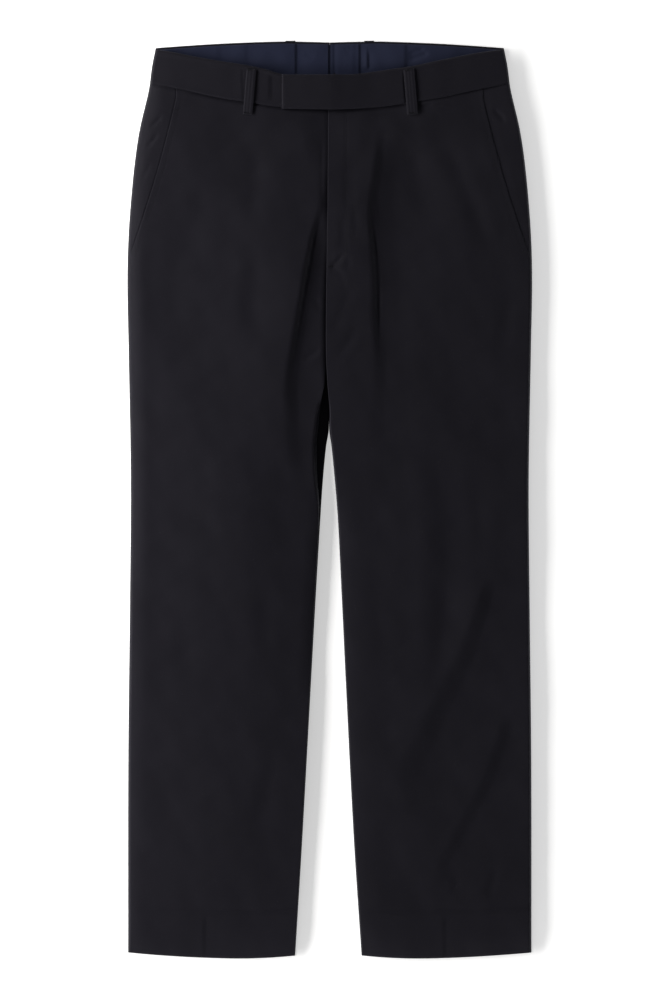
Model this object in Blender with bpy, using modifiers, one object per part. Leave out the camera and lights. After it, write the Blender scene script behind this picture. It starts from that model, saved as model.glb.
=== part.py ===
"""Dress trousers, laid flat with the front up and the waist towards +Y.

Metres, +Z up, with the surface they lie on at z = 0 and +X at the wearer's left. Each piece
of cloth is an open sheet on a grid, shaped by the section tables below and given its wall by
Solidify. The backs lie flat, the fronts arch over them from seam to seam, and pieces that
meet stay GAP apart.
"""

import math
from collections import namedtuple

import bmesh
import bpy
from mathutils import Vector

# Walls of the cloth, and the gap kept at every seam.
CLOTH = 0.0012
BAND = 0.0018
LINING = 0.0010
TAPE = 0.0010
GAP = 0.0003

# Heights of the undersides, from the surface up.
FRONT_SEAT = CLOTH + GAP
FRONT_LOFT = 0.0115
HEM_LOFT = 0.0100
BACK_BAND_SEAT = TAPE + GAP
LINING_SEAT = BACK_BAND_SEAT + BAND + GAP
BAND_SEAT = BACK_BAND_SEAT + BAND + GAP
TAB_SEAT = FRONT_LOFT + BAND + GAP

# Levels along the leg.
HEM_Y = -0.5362
FORK_Y = 0.0845
POCKET_END_Y = 0.2790
WAIST_Y = 0.4562
BACK_BAND_HEIGHT = 0.0415

# Levels between which the rows of the panels bend up into the curve of the waist.
FRONT_DIP_START = 0.249
BACK_DIP_START = 0.356

# How a front rolls down to its seams.
OUTER_ROLL = 0.024
INNER_ROLL = 0.016
ROLL_POWER = 2.4
CROTCH_OPENING = (0.170, 0.080)
BAND_RISE = (0.400, 0.475)
BACK_RISE = (0.432, 0.468)

# The hem's arc, lowest a third of the way out from the inseam.
HEM_LOW_SHARE = 0.34
HEM_INNER_RISE = 0.0035
HEM_OUTER_RISE = 0.0070
HEM_INNER_POWER = 2.0
HEM_OUTER_POWER = 1.7
HEM_ARC_TOP = -0.440

# The slanted pocket mouth, from the waist seam to the side seam.
POCKET_TOP_X = 0.1795
POCKET_TOP_Y = 0.4700
POCKET_BOW = 0.25
POCKET_TIP = 0.0035
POCKET_LIP = 0.0007
POCKET_LIP_REACH = 0.022
POCKET_LIP_START = 0.030

# The fly laps the wearer's left front over the right, and the tab laps the waistband.
FLY_LAP = 0.0012
FLY_LAP_REACH = 0.050
TAB_END_X = -0.0562
TAB_REACH = (0.006, 0.066)
RIGHT_BAND_END_X = 0.0020
ZIP_INSET = 0.002
ZIP_WIDTH = 0.020
ZIP_SPAN = (0.262, 0.452)

# The lining strip inside the back of the waistband.
LINING_HEIGHT = 0.0460
LINING_INSET = 0.0032
LINING_END = 0.0055

# Belt loops: width, and how far the middle stands off the waistband.
LOOP_WIDTH = 0.0115
LOOP_THICKNESS = 0.0012
LOOP_BULGE = 0.0009
LOOP_SEAM_DROP = 0.0006
LOOP_SEAM_SHARE = 0.24

# Grids: columns across a piece, and rows along each stretch of it.
FRONT_COLUMNS = 14
LEG_ROWS = 19
CROTCH_ROWS = 11
POCKET_ROWS = 9
FACING_COLUMNS = 3
BACK_COLUMNS = 5
BACK_ROWS = (12, 9, 3, 2)
BAND_COLUMNS = 14
BACK_BAND_COLUMNS = 8
BAND_ROWS = 3
TAPE_GRID = (2, 8)
COLUMN_CROWDING = 0.08
EDGE_STEPS = 4

Outline = namedtuple("Outline", "y outer")
OUTLINE = (
    Outline(-0.5400, 0.2354),
    Outline(-0.3040, 0.2352),
    Outline(-0.1168, 0.2332),
    Outline(0.0236, 0.2322),
    Outline(0.1757, 0.2348),
    Outline(0.2576, 0.2362),
    Outline(0.3161, 0.2345),
    Outline(0.3863, 0.2286),
    Outline(0.4331, 0.2219),
    Outline(0.4799, 0.2111),
    Outline(0.5080, 0.2072),
    Outline(0.5300, 0.2028),
)

# Signed x of each inner edge: fly, front crotch and inseam, and seat seam and back inseam.
Centre = namedtuple("Centre", "y front_right front_left back_right back_left")
CENTRE = (
    Centre(-0.5400, -0.0409, 0.0377, -0.0409, 0.0377),
    Centre(-0.3976, -0.0322, 0.0282, -0.0322, 0.0282),
    Centre(-0.2104, -0.0220, 0.0186, -0.0218, 0.0186),
    Centre(-0.1168, -0.0182, 0.0142, -0.0166, 0.0142),
    Centre(-0.0232, -0.0178, 0.0096, -0.0111, 0.0096),
    Centre(0.0236, -0.0180, 0.0059, -0.0080, 0.0059),
    Centre(0.0634, -0.0175, 0.0020, -0.0042, 0.0020),
    Centre(0.0845, -0.0152, -0.0004, -0.0010, -0.0007),
    Centre(0.1090, -0.0114, -0.0008, -0.0010, -0.0007),
    Centre(0.1383, -0.0098, -0.0030, -0.0010, -0.0007),
    Centre(0.1681, -0.0074, -0.0055, -0.0010, -0.0007),
    Centre(0.2263, -0.0068, -0.0061, -0.0008, -0.0005),
    Centre(0.3395, -0.0051, -0.0047, -0.0004, -0.0001),
    Centre(0.5400, -0.0037, -0.0033, -0.0002, 0.0002),
)

# Levels of the waistband at a distance x from the centre.
Waist = namedtuple("Waist", "x top_right top_left seam back_top")
WAIST = (
    Waist(0.000, 0.4981, 0.4981, 0.4562, 0.5352),
    Waist(0.030, 0.4982, 0.4986, 0.4571, 0.5360),
    Waist(0.057, 0.4989, 0.5022, 0.4590, 0.5363),
    Waist(0.075, 0.5043, 0.5050, 0.4612, 0.5359),
    Waist(0.095, 0.5087, 0.5077, 0.4644, 0.5352),
    Waist(0.129, 0.5140, 0.5150, 0.4698, 0.5337),
    Waist(0.162, 0.5199, 0.5216, 0.4772, 0.5317),
    Waist(0.190, 0.5256, 0.5260, 0.4829, 0.5299),
    Waist(0.212, 0.5284, 0.5284, 0.4876, 0.5284),
)

# The largest folds: a trough along a path, with a soft ridge on its left, or right if negative.
FOLD_FADE = (0.25, 0.30)
Fold = namedtuple("Fold", "depth width ridge path")
FOLDS = (
    Fold(0.0036, 0.017, -0.0014, ((-0.008, 0.354), (-0.026, 0.258), (-0.045, 0.130), (-0.031, 0.012))),
    Fold(0.0036, 0.017, -0.0010, ((0.060, 0.424), (0.050, 0.368), (0.060, 0.171), (0.049, 0.041))),
    Fold(0.0028, 0.020, -0.0016, ((0.190, -0.103), (0.155, -0.192), (0.110, -0.283), (0.045, -0.380))),
    Fold(0.0024, 0.018, -0.0012, ((0.209, -0.263), (0.177, -0.344), (0.144, -0.407), (0.133, -0.450))),
    Fold(0.0018, 0.024, -0.0008, ((0.122, 0.114), (0.125, -0.017), (0.122, -0.132), (0.107, -0.190))),
)

# Belt loops: x and y at the top and bottom of each, and whether it is on the front.
Loop = namedtuple("Loop", "name top_x bottom_x top_y bottom_y on_front")
LOOPS = (
    Loop("belt_loop_front", 0.0920, 0.0963, 0.5058, 0.4513, True),
    Loop("belt_loop_side", 0.1640, 0.1650, 0.5322, 0.4800, False),
    Loop("belt_loop_back", 0.0460, 0.0470, 0.5372, 0.4840, False),
)

Finish = namedtuple("Finish", "colour roughness metallic")
FINISHES = {
    "wool": Finish((0.0125, 0.0118, 0.0160), 0.86, 0.0),
    "lining": Finish((0.0160, 0.0180, 0.0330), 0.55, 0.0),
    "zip_tape": Finish((0.0100, 0.0100, 0.0130), 0.70, 0.0),
}
SIDES = (("left", 1), ("right", -1))


def smooth(low, high, value):
    """Eased share of the way from low to high, which may run either way."""
    share = min(max((value - low) / (high - low), 0.0), 1.0)
    return share * share * (3.0 - 2.0 * share)


def mix(first, second, share):
    """Value at a share of the way from first to second."""
    return first + (second - first) * share


def at(table, position, column):
    """Reads a column of a table at a position in its first column, on a smooth curve."""
    places = [row[0] for row in table]
    values = [getattr(row, column) for row in table]
    position = min(max(position, places[0]), places[-1])
    index = max(i for i, place in enumerate(places[:-1]) if place <= position)
    span = places[index + 1] - places[index]
    share = (position - places[index]) / span

    def slope(i):
        before, after = max(i - 1, 0), min(i + 1, len(places) - 1)
        return (values[after] - values[before]) / (places[after] - places[before])

    rise = values[index + 1] - values[index]
    start, end = slope(index) * span, slope(index + 1) * span
    return values[index] + share * (
        start + share * (3 * rise - 2 * start - end + share * (start + end - 2 * rise))
    )


def outer(y):
    """Half width of the whole garment at a level."""
    return at(OUTLINE, y, "outer")


def slant(y):
    """Distance of the pocket mouth from the centre, or of the side seam below it."""
    share = (POCKET_TOP_Y - y) / (POCKET_TOP_Y - POCKET_END_Y)
    if share >= 1.0:
        return outer(y)
    share = max(share, 0.0)
    eased = share * (1.0 - POCKET_BOW + POCKET_BOW * share)
    return mix(POCKET_TOP_X, outer(POCKET_END_Y), eased)


def roll(distance, reach):
    """Share of the full loft at a distance in from a seam."""
    share = min(max(distance / reach, 0.0), 1.0)
    return 1.0 - (1.0 - share) ** ROLL_POWER


def nearest(path, x, y):
    """Signed distance from a path of points, positive on its left, and the share along it."""
    place = Vector((x, y))
    best = (math.inf, 0.0, 0.0)
    for index, (start, end) in enumerate(zip(path, path[1:])):
        start, run = Vector(start), Vector(end) - Vector(start)
        share = min(max((place - start).dot(run) / run.length_squared, 0.0), 1.0)
        away = place - start - run * share
        side = math.copysign(1.0, run.x * away.y - run.y * away.x)
        best = min(best, (away.length, side, (index + share) / (len(path) - 1)))
    return best[0] * best[1], best[2]


def fold_relief(x, y):
    """Height that the folds add at a place, below zero in a trough."""
    relief = 0.0
    for fold in FOLDS:
        distance, along = nearest(fold.path, x, y)
        taper = smooth(0.0, FOLD_FADE[0], along) * smooth(1.0, 1.0 - FOLD_FADE[1], along)
        trough = 1.0 - smooth(0.0, fold.width, abs(distance))
        beside = distance - math.copysign(fold.width, fold.ridge)
        crest = 1.0 - smooth(0.0, fold.width, abs(beside))
        relief += taper * (abs(fold.ridge) * crest - fold.depth * trough)
    return relief


def front_underside(side, x, y):
    """Height of the underside of a front at a place on it."""
    seat = mix(FRONT_SEAT, BAND_SEAT, smooth(*BAND_RISE, y))
    inner = at(CENTRE, y, "front_left" if side > 0 else "front_right")
    opening = smooth(*CROTCH_OPENING, y)
    inwards = 1.0 - opening * (1.0 - roll(side * (x - inner), INNER_ROLL))
    held = roll(outer(y) - abs(x), OUTER_ROLL) * inwards
    loft = mix(HEM_LOFT, FRONT_LOFT, smooth(HEM_Y, FORK_Y, y)) - seat
    lap = FLY_LAP * (1.0 - opening) * smooth(FLY_LAP_REACH, 0.0, x - inner) if side > 0 else 0.0
    return seat + held * (loft + fold_relief(x, y)) + lap


def hem_rise(y, share_out):
    """How far the hem's arc lifts a point, by its share of the way from inseam to side seam."""
    if share_out < HEM_LOW_SHARE:
        rise = HEM_INNER_RISE * (1.0 - share_out / HEM_LOW_SHARE) ** HEM_INNER_POWER
    else:
        past_low = (share_out - HEM_LOW_SHARE) / (1.0 - HEM_LOW_SHARE)
        rise = HEM_OUTER_RISE * past_low**HEM_OUTER_POWER
    return rise * smooth(HEM_ARC_TOP, HEM_Y, y)


def spaced(low, high, count):
    """Evenly spaced levels from low up to, but not including, high."""
    return [mix(low, high, index / count) for index in range(count)]


def crowded(share):
    """Share across a panel with its columns crowded towards the two seams."""
    return share - COLUMN_CROWDING * math.sin(2.0 * math.pi * share)


def place(edges, level, share, lift):
    """Point across a panel, where edges and lift depend on each other."""
    y = level
    for _ in range(EDGE_STEPS):
        low, high = edges(y)
        x = mix(low, high, share)
        y = level + lift(x)
    return x, y


def finish(name):
    """The material of a finish, made once."""
    if name in bpy.data.materials:
        return bpy.data.materials[name]
    material = bpy.data.materials.new(name)
    material.use_nodes = True
    shader = material.node_tree.nodes["Principled BSDF"]
    shader.inputs["Base Color"].default_value = (*FINISHES[name].colour, 1.0)
    shader.inputs["Roughness"].default_value = FINISHES[name].roughness
    shader.inputs["Metallic"].default_value = FINISHES[name].metallic
    return material


def sheet(name, columns, rows, point, wall, material="wool"):
    """Makes a grid sheet, puts each point by its shares across and along, and gives it a wall.

    Shares across rise with x and shares along rise with y, so the faces point up and the
    wall grows upwards from the underside.
    """
    grid = bmesh.new()
    bmesh.ops.create_grid(grid, x_segments=columns, y_segments=rows, size=0.5)
    for vertex in grid.verts:
        vertex.co = point(vertex.co.x + 0.5, vertex.co.y + 0.5)
    mesh = bpy.data.meshes.new(name)
    grid.to_mesh(mesh)
    grid.free()
    mesh.shade_smooth()
    mesh.materials.append(finish(material))
    obj = bpy.data.objects.new(name, mesh)
    bpy.data.collections[COLLECTION].objects.link(obj)
    cloth = obj.modifiers.new("wall", "SOLIDIFY")
    cloth.thickness = wall
    cloth.offset = 1.0
    cloth.use_even_offset = True
    return obj


def panel(name, edges, levels, columns, lift, height, spread=crowded):
    """A leg panel: rows at the given levels, from one edge to the other."""

    def point(across, along):
        level = levels[round(along * (len(levels) - 1))]
        x, y = place(edges, level, spread(across), lambda x: lift(x, level))
        return x, y, height(x, y)

    return sheet(name, columns, len(levels) - 1, point, CLOTH)


def share_out(side, x, y, column):
    """Share of the way from an inner edge to the side seam."""
    inner = at(CENTRE, y, column)
    return min(max((x - inner) / (side * outer(y) - inner), 0.0), 1.0)


def ordered(side, inner, outward):
    """The two edges of a panel on one side, in order of x."""
    return (inner, outward) if side > 0 else (-outward, inner)


FRONT_LEVELS = (
    spaced(HEM_Y, FORK_Y, LEG_ROWS)
    + spaced(FORK_Y, POCKET_END_Y, CROTCH_ROWS)
    + spaced(POCKET_END_Y, WAIST_Y, POCKET_ROWS)
    + [WAIST_Y]
)


def front_lift(side, x, level):
    """Curve of a front's rows: the hem's arc at the bottom and the waist seam at the top."""
    inner_column = "front_left" if side > 0 else "front_right"
    arc = hem_rise(level, share_out(side, x, level, inner_column))
    dip = at(WAIST, abs(x), "seam") - WAIST_Y
    return arc + dip * smooth(FRONT_DIP_START, WAIST_Y, level)


def make_front(label, side):
    """A front, from the fly and inseam to the pocket mouth and side seam."""

    def edges(y):
        return ordered(side, at(CENTRE, y, f"front_{label}"), slant(y))

    def height(x, y):
        near_mouth = slant(y) - abs(x) if y > POCKET_END_Y else POCKET_LIP_REACH
        lip = POCKET_LIP * smooth(POCKET_LIP_REACH, 0.0, near_mouth)
        eased = smooth(POCKET_END_Y, POCKET_END_Y + POCKET_LIP_START, y)
        return front_underside(side, x, y) + lip * eased

    def lift(x, level):
        return front_lift(side, x, level)

    panel(f"front_{label}", edges, FRONT_LEVELS, FRONT_COLUMNS, lift, height)


def make_pocket_facing(label, side):
    """The side piece under the slanted mouth, out to the side seam."""
    levels = [POCKET_END_Y + POCKET_TIP] + [level for level in FRONT_LEVELS if level > POCKET_END_Y]

    def edges(y):
        return ordered(side, side * (slant(y) + GAP), outer(y))

    def height(x, y):
        return front_underside(side, x, y)

    def lift(x, level):
        return front_lift(side, x, level)

    panel(f"pocket_facing_{label}", edges, levels, FACING_COLUMNS, lift, height, lambda share: share)


def back_top(x):
    """Top edge of the back of the waistband."""
    return at(WAIST, abs(x), "back_top")


def make_back(label, side):
    """A back, flat on the surface from hem to waist, from seat seam and inseam to side seam."""
    top = back_top(0.0) - BACK_BAND_HEIGHT - GAP
    stops = (HEM_Y, FORK_Y, *BACK_RISE, top)
    levels = [level for row in zip(stops, stops[1:], BACK_ROWS) for level in spaced(*row)] + [top]

    def edges(y):
        return ordered(side, at(CENTRE, y, f"back_{label}"), outer(y))

    def height(x, y):
        return BACK_BAND_SEAT * smooth(*BACK_RISE, y)

    def lift(x, level):
        arc = hem_rise(level, share_out(side, x, level, f"back_{label}"))
        dip = back_top(x) - back_top(0.0)
        return arc + dip * smooth(BACK_DIP_START, top, level)

    panel(f"back_{label}", edges, levels, BACK_COLUMNS, lift, height)


def band(name, ends, low, high, height, wall=BAND, columns=BAND_COLUMNS, material="wool"):
    """A strip along the waist between two level curves, whose ends may follow the outline."""

    def point(across, along):
        share = crowded(across)
        x = mix(*ends(mix(low(0.0), high(0.0), along)), share)
        y = mix(low(x), high(x), along)
        x = mix(*ends(y), share)
        return x, y, height(x, y)

    sheet(name, columns, BAND_ROWS, point, wall, material)


def front_band_height(x, y):
    """Underside of the front of the waistband, level but for its roll to the sides."""
    return mix(BAND_SEAT, FRONT_LOFT, roll(outer(y) - abs(x), OUTER_ROLL))


def make_front_bands():
    """The front of the waistband: the left half carries the square tab over the right half."""

    def seam(x):
        return at(WAIST, abs(x), "seam") + GAP

    def left_height(x, y):
        return front_band_height(x, y) + (TAB_SEAT - FRONT_LOFT) * smooth(*reversed(TAB_REACH), x)

    band(
        "waistband_front_left",
        lambda y: (TAB_END_X, outer(y)),
        seam,
        lambda x: at(WAIST, max(x, 0.0), "top_left"),
        left_height,
    )
    band(
        "waistband_front_right",
        lambda y: (-outer(y), RIGHT_BAND_END_X),
        seam,
        lambda x: at(WAIST, abs(x), "top_right"),
        front_band_height,
    )


def make_back_bands(label, side):
    """Half of the back of the waistband, and the lining strip on its inside."""
    half_gap = side * GAP / 2

    def band_seat(x, y):
        return BACK_BAND_SEAT

    def lining_seat(x, y):
        return LINING_SEAT

    band(
        f"waistband_back_{label}",
        lambda y: ordered(side, half_gap, outer(y)),
        lambda x: back_top(x) - BACK_BAND_HEIGHT,
        back_top,
        band_seat,
        columns=BACK_BAND_COLUMNS,
    )
    band(
        f"waistband_lining_{label}",
        lambda y: ordered(side, half_gap, outer(y) - LINING_END),
        lambda x: back_top(x) - LINING_INSET - LINING_HEIGHT,
        lambda x: back_top(x) - LINING_INSET,
        lining_seat,
        wall=LINING,
        columns=BACK_BAND_COLUMNS,
        material="lining",
    )


def make_loop(loop, label, side):
    """A belt loop, sewn at both ends: arched over the front, flat under the back."""
    rest = FRONT_LOFT + BAND + GAP if loop.on_front else 0.0

    def point(across, along):
        centre = side * mix(loop.bottom_x, loop.top_x, along)
        arch = LOOP_BULGE * math.sin(math.pi * along)
        drop = LOOP_SEAM_DROP * smooth(LOOP_SEAM_SHARE, 0.0, along)
        height = rest + arch - drop if loop.on_front else rest
        return centre + (across - 0.5) * LOOP_WIDTH, mix(loop.bottom_y, loop.top_y, along), height

    wall = LOOP_THICKNESS if loop.on_front else TAPE
    sheet(f"{loop.name}_{label}", *TAPE_GRID, point, wall)


def make_zip():
    """The closed zip: a plain tape sewn under the lap of the fly."""

    def point(across, along):
        y = mix(*ZIP_SPAN, along)
        x = at(CENTRE, y, "front_left") + ZIP_INSET + across * ZIP_WIDTH
        return x, y, front_underside(1, x, y) - TAPE - GAP

    sheet("fly_zip", *TAPE_GRID, point, TAPE, "zip_tape")


COLLECTION = "dress_trousers"


def build():
    """Clears the scene and makes every piece."""
    for obj in list(bpy.data.objects):
        bpy.data.objects.remove(obj, do_unlink=True)
    bpy.context.scene.collection.children.link(bpy.data.collections.new(COLLECTION))
    for label, side in SIDES:
        make_back(label, side)
        make_front(label, side)
        make_pocket_facing(label, side)
        make_back_bands(label, side)
        for loop in LOOPS:
            make_loop(loop, label, side)
    make_front_bands()
    make_zip()


build()
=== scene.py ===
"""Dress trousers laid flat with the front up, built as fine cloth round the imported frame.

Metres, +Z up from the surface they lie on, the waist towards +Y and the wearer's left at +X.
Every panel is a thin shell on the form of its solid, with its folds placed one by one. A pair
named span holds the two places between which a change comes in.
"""

import logging
import math
from dataclasses import dataclass
from enum import Enum
from functools import cached_property, partial
from typing import Callable, Iterable

import bpy
import numpy as np
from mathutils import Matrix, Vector


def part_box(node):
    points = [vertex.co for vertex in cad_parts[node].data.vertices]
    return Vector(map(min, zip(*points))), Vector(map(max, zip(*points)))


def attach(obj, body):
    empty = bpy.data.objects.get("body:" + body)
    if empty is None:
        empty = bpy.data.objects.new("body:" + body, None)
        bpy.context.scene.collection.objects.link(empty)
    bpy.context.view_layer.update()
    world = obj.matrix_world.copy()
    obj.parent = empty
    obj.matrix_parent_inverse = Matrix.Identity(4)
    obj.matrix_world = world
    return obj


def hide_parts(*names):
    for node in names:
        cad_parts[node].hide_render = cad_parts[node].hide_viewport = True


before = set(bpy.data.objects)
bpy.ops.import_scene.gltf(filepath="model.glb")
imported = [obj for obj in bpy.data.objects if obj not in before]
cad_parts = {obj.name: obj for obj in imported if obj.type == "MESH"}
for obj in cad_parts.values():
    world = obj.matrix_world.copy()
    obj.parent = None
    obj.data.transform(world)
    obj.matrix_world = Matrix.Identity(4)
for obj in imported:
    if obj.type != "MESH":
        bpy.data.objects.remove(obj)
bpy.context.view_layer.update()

LOG = logging.getLogger("trousers")
Array = np.ndarray
Pair = tuple[float, float]
Triple = tuple[float, float, float]
Colour = Triple
Socket = bpy.types.NodeSocket
Path = tuple[Pair, ...]
Spacing = tuple[float, float, int]

# Walls of the cloth, and the gap between edges that meet.
CLOTH = 0.0009
BAND_WALL = 0.0015
LINING_WALL = 0.0008
TAPE_WALL = 0.0008
GAP = 0.0001
# Rounds of the search for the points of a row that bends.
ROUNDS = 5


class Side(Enum):
    """The wearer's side; its value is the sign of x."""

    LEFT = 1
    RIGHT = -1

    @property
    def label(self) -> str:
        """Name of the side as the pieces carry it."""
        return self.name.lower()

    def ordered(self, inner: Array, outer: Array) -> tuple[Array, Array]:
        """The inner and the outer edge of a piece on this side, in order of x."""
        return (inner, outer) if self is Side.LEFT else (outer, inner)


class Profile(Enum):
    """Cross-section of a crease."""

    TROUGH = "a soft dip with crests beside it"
    RIDGE = "a soft crest"
    STEP = "the cloth on the right of the path stands higher, and both sides ease out"


def smooth(low: float, high: float, value: Array) -> Array:
    """Eased share of the way from low to high.

    Args:
        low: value where the share is 0.
        high: value where the share is 1; it may lie below low.
        value: places to read.

    Returns:
        Shares between 0 and 1.
    """
    share = np.clip((value - low) / (high - low), 0.0, 1.0)
    return share * share * (3.0 - 2.0 * share)


def mix(first: Array, second: Array, share: Array) -> Array:
    """Value at a share of the way from first to second."""
    return first + (second - first) * share


# Share of its reach at which a bell has dropped to a third.
BELL_SHARE = 0.58


def bell(distance: Array, reach: float) -> Array:
    """Soft bump that is 1 at distance 0 and has nearly gone at reach."""
    return np.exp(-((np.abs(distance) / (BELL_SHARE * reach)) ** 2.0))


@dataclass(frozen=True)
class Curve:
    """A smooth line through known places, read at many places at once."""

    places: tuple[float, ...]
    values: tuple[float, ...]

    def at(self, where: Array) -> Array:
        """Reads the line.

        Args:
            where: places to read, held to the ends of the line.

        Returns:
            The value at each place.
        """
        places = np.asarray(self.places)
        values = np.asarray(self.values)
        last = len(places) - 1
        before = np.maximum(np.arange(last + 1) - 1, 0)
        after = np.minimum(np.arange(last + 1) + 1, last)
        slopes = (values[after] - values[before]) / (places[after] - places[before])
        where = np.clip(where, places[0], places[-1])
        index = np.clip(np.searchsorted(places, where, side="right") - 1, 0, last - 1)
        span = places[index + 1] - places[index]
        share = (where - places[index]) / span
        rise = values[index + 1] - values[index]
        start = slopes[index] * span
        end = slopes[index + 1] * span
        curve = start + share * (3 * rise - 2 * start - end + share * (start + end - 2 * rise))
        return values[index] + share * curve


def smoothed(points: Path, steps: int = 8) -> Array:
    """A smooth line through points, as a denser row of points.

    Args:
        points: the points that the line passes through.
        steps: points on each stretch of it.

    Returns:
        One row for each point of the line.
    """
    line = np.asarray(points, float)
    if len(line) < 3:
        return line
    padded = np.vstack([2 * line[0] - line[1], line, 2 * line[-1] - line[-2]])
    found = []
    for index in range(len(line) - 1):
        a, b, c, d = padded[index : index + 4]
        for step in range(steps):
            t = step / steps
            found.append(
                b + 0.5 * t * (c - a + t * (2 * a - 5 * b + 4 * c - d + t * (3 * b - a - 3 * c + d)))
            )
    found.append(line[-1])
    return np.asarray(found)


# How far a crease reaches: in widths of a soft one, and in rises of a step.
SOFT_REACH = 3.2
STEP_REACH = 1.3
# Where the crests beside a trough stand, and how far they reach, in its widths.
CREST_PLACE = 1.3
CREST_REACH = 1.1


@dataclass(frozen=True)
class Crease:
    """A fold of the cloth along a path.

    Its height or depth is met in the middle of the path and fades at both ends, and its width
    grows by spread on the way. A trough may carry a crest on its left and its right, and lee
    stretches its left flank. A step puts the share split of its height above the cloth on its
    right and the rest below it on its left, and rise is how far each of them takes to ease out,
    left and right. Its tail is the share of the drop that comes late, and how many widths that
    takes.
    """

    path: Path
    height: float
    width: float
    left: float = 0.0
    right: float = 0.0
    fade: Pair = (0.25, 0.3)
    spread: float = 1.0
    lee: float = 1.0
    profile: Profile = Profile.TROUGH
    split: float = 0.5
    rise: Pair = (0.055, 0.055)
    tail: Pair = (0.0, 4.0)

    @cached_property
    def line(self) -> Array:
        """The path as a dense row of points."""
        return smoothed(self.path)

    def nearest(self, x: Array, y: Array) -> tuple[Array, Array]:
        """Finds the place on the path nearest to each point.

        Args:
            x: distances across.
            y: levels along the garment.

        Returns:
            The signed distance, positive on the left, and the share along the path.
        """
        line = self.line
        lengths = np.hypot(*(line[1:] - line[:-1]).T)
        passed = np.concatenate([[0.0], np.cumsum(lengths)])
        best = np.full(x.shape, np.inf)
        along = np.zeros(x.shape)
        for index, (start, end) in enumerate(zip(line, line[1:])):
            run = end - start
            ax = x - start[0]
            ay = y - start[1]
            share = np.clip((ax * run[0] + ay * run[1]) / (run @ run), 0.0, 1.0)
            gap = np.hypot(ax - share * run[0], ay - share * run[1])
            side = np.where(run[0] * ay - run[1] * ax >= 0.0, 1.0, -1.0)
            closer = gap < np.abs(best)
            best = np.where(closer, side * gap, best)
            along = np.where(closer, (passed[index] + share * lengths[index]) / passed[-1], along)
        return best, along

    def relief(self, x: Array, y: Array) -> Array:
        """Reads the relief of the crease.

        Args:
            x: distances across.
            y: levels.

        Returns:
            Height that it adds at each point, below zero in a trough.
        """
        found = np.zeros(x.shape)
        reach = SOFT_REACH * self.width * max(1.0, self.spread) * max(1.0, self.lee)
        if self.profile is Profile.STEP:
            reach = STEP_REACH * max(self.rise)
        low = self.line.min(0) - reach
        high = self.line.max(0) + reach
        near = (x > low[0]) & (x < high[0]) & (y > low[1]) & (y < high[1])
        if not near.any():
            return found
        distance, along = self.nearest(x[near], y[near])
        width = self.width * mix(1.0, self.spread, along) * np.where(distance > 0.0, self.lee, 1.0)
        taper = smooth(0.0, self.fade[0], along) * smooth(1.0, 1.0 - self.fade[1], along)
        widths = distance / width
        if self.profile is Profile.RIDGE:
            shape = self.height * bell(widths, 1.0)
        elif self.profile is Profile.STEP:
            left, right = self.rise
            ease = np.where(distance > 0.0, bell(distance, left), bell(distance, right))
            late, length = self.tail
            drop = mix(smooth(-1.0, 1.0, widths), smooth(-1.0, length, widths), late)
            shape = self.height * (self.split - drop) * ease
        else:
            crests = self.left * bell(widths - CREST_PLACE, CREST_REACH)
            crests = crests + self.right * bell(widths + CREST_PLACE, CREST_REACH)
            shape = crests - self.height * bell(widths, 1.0)
        found[near] = taper * shape
        return found


def step(
    path: Path,
    height: float,
    width: float,
    fade: Pair,
    rise: Pair,
    split: float = 0.5,
    spread: float = 1.0,
    tail: Pair = (0.0, 4.0),
) -> Crease:
    """Makes a crease whose two sides stand at different heights.

    Args:
        path: its line, with the higher side on the right.
        height: height of the step.
        width: half the width of its slope.
        fade: shares of the path over which it comes in and goes out.
        rise: how far its left and its right side take to ease out.
        split: share of the height that stands above the cloth.
        spread: how many times wider it is at its end.
        tail: share of the drop that comes late, and how many widths that takes.

    Returns:
        The crease.
    """
    shape = {"profile": Profile.STEP, "split": split, "rise": rise, "tail": tail}
    return Crease(path, height, width, fade=fade, spread=spread, **shape)


def ridge(path: Path, height: float, width: float, fade: Pair) -> Crease:
    """Makes a broad, soft crest along a path."""
    return Crease(path, height, width, fade=fade, profile=Profile.RIDGE)


# Shares of a dent over which it comes in and goes out.
DENT_FADE = (0.4, 0.4)


def dent(path: Path, depth: float, width: float) -> Crease:
    """Makes a shallow dip that comes and goes slowly along a path."""
    return Crease(path, depth, width, fade=DENT_FADE)


@dataclass(frozen=True)
class Ripple:
    """The slight, uneven wave of cloth that lies loose."""

    height: float
    shortest: float
    longest: float
    seed: int
    swing: float = 0.45
    waves: int = 14

    def relief(self, x: Array, y: Array) -> Array:
        """Reads the relief of the waves.

        Args:
            x: distances across.
            y: levels.

        Returns:
            Height that they add at each point.
        """
        draw = np.random.default_rng(self.seed)
        found = np.zeros(np.shape(x))
        for _ in range(self.waves):
            length = draw.uniform(self.shortest, self.longest)
            turn = draw.normal(0.0, self.swing)
            phase = draw.uniform(0.0, 2.0 * math.pi)
            way = (x * math.cos(turn) + y * math.sin(turn)) * 2.0 * math.pi / length
            found = found + np.sin(way + phase)
        return self.height * found / math.sqrt(self.waves)


def reliefs(shapes: Iterable[Crease | Ripple], x: Array, y: Array) -> Array:
    """Height that several creases and ripples add together.

    Args:
        shapes: the creases and ripples.
        x: distances across.
        y: levels.

    Returns:
        The sum at each point.
    """
    found = np.zeros(np.shape(x))
    for shape in shapes:
        found = found + shape.relief(x, y)
    return found


# ------------ the cut of the trousers

# Levels at which the lines of the legs, of the fly and of the top are set.
LEG_LEVELS = (-0.54, -0.3976, -0.2104, -0.1168, -0.0232, 0.0236, 0.0634, 0.0845)
FLY_LEVELS = (0.109, 0.1383, 0.1681)
TOP_LEVELS = (0.2263, 0.3395, 0.54)
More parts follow.
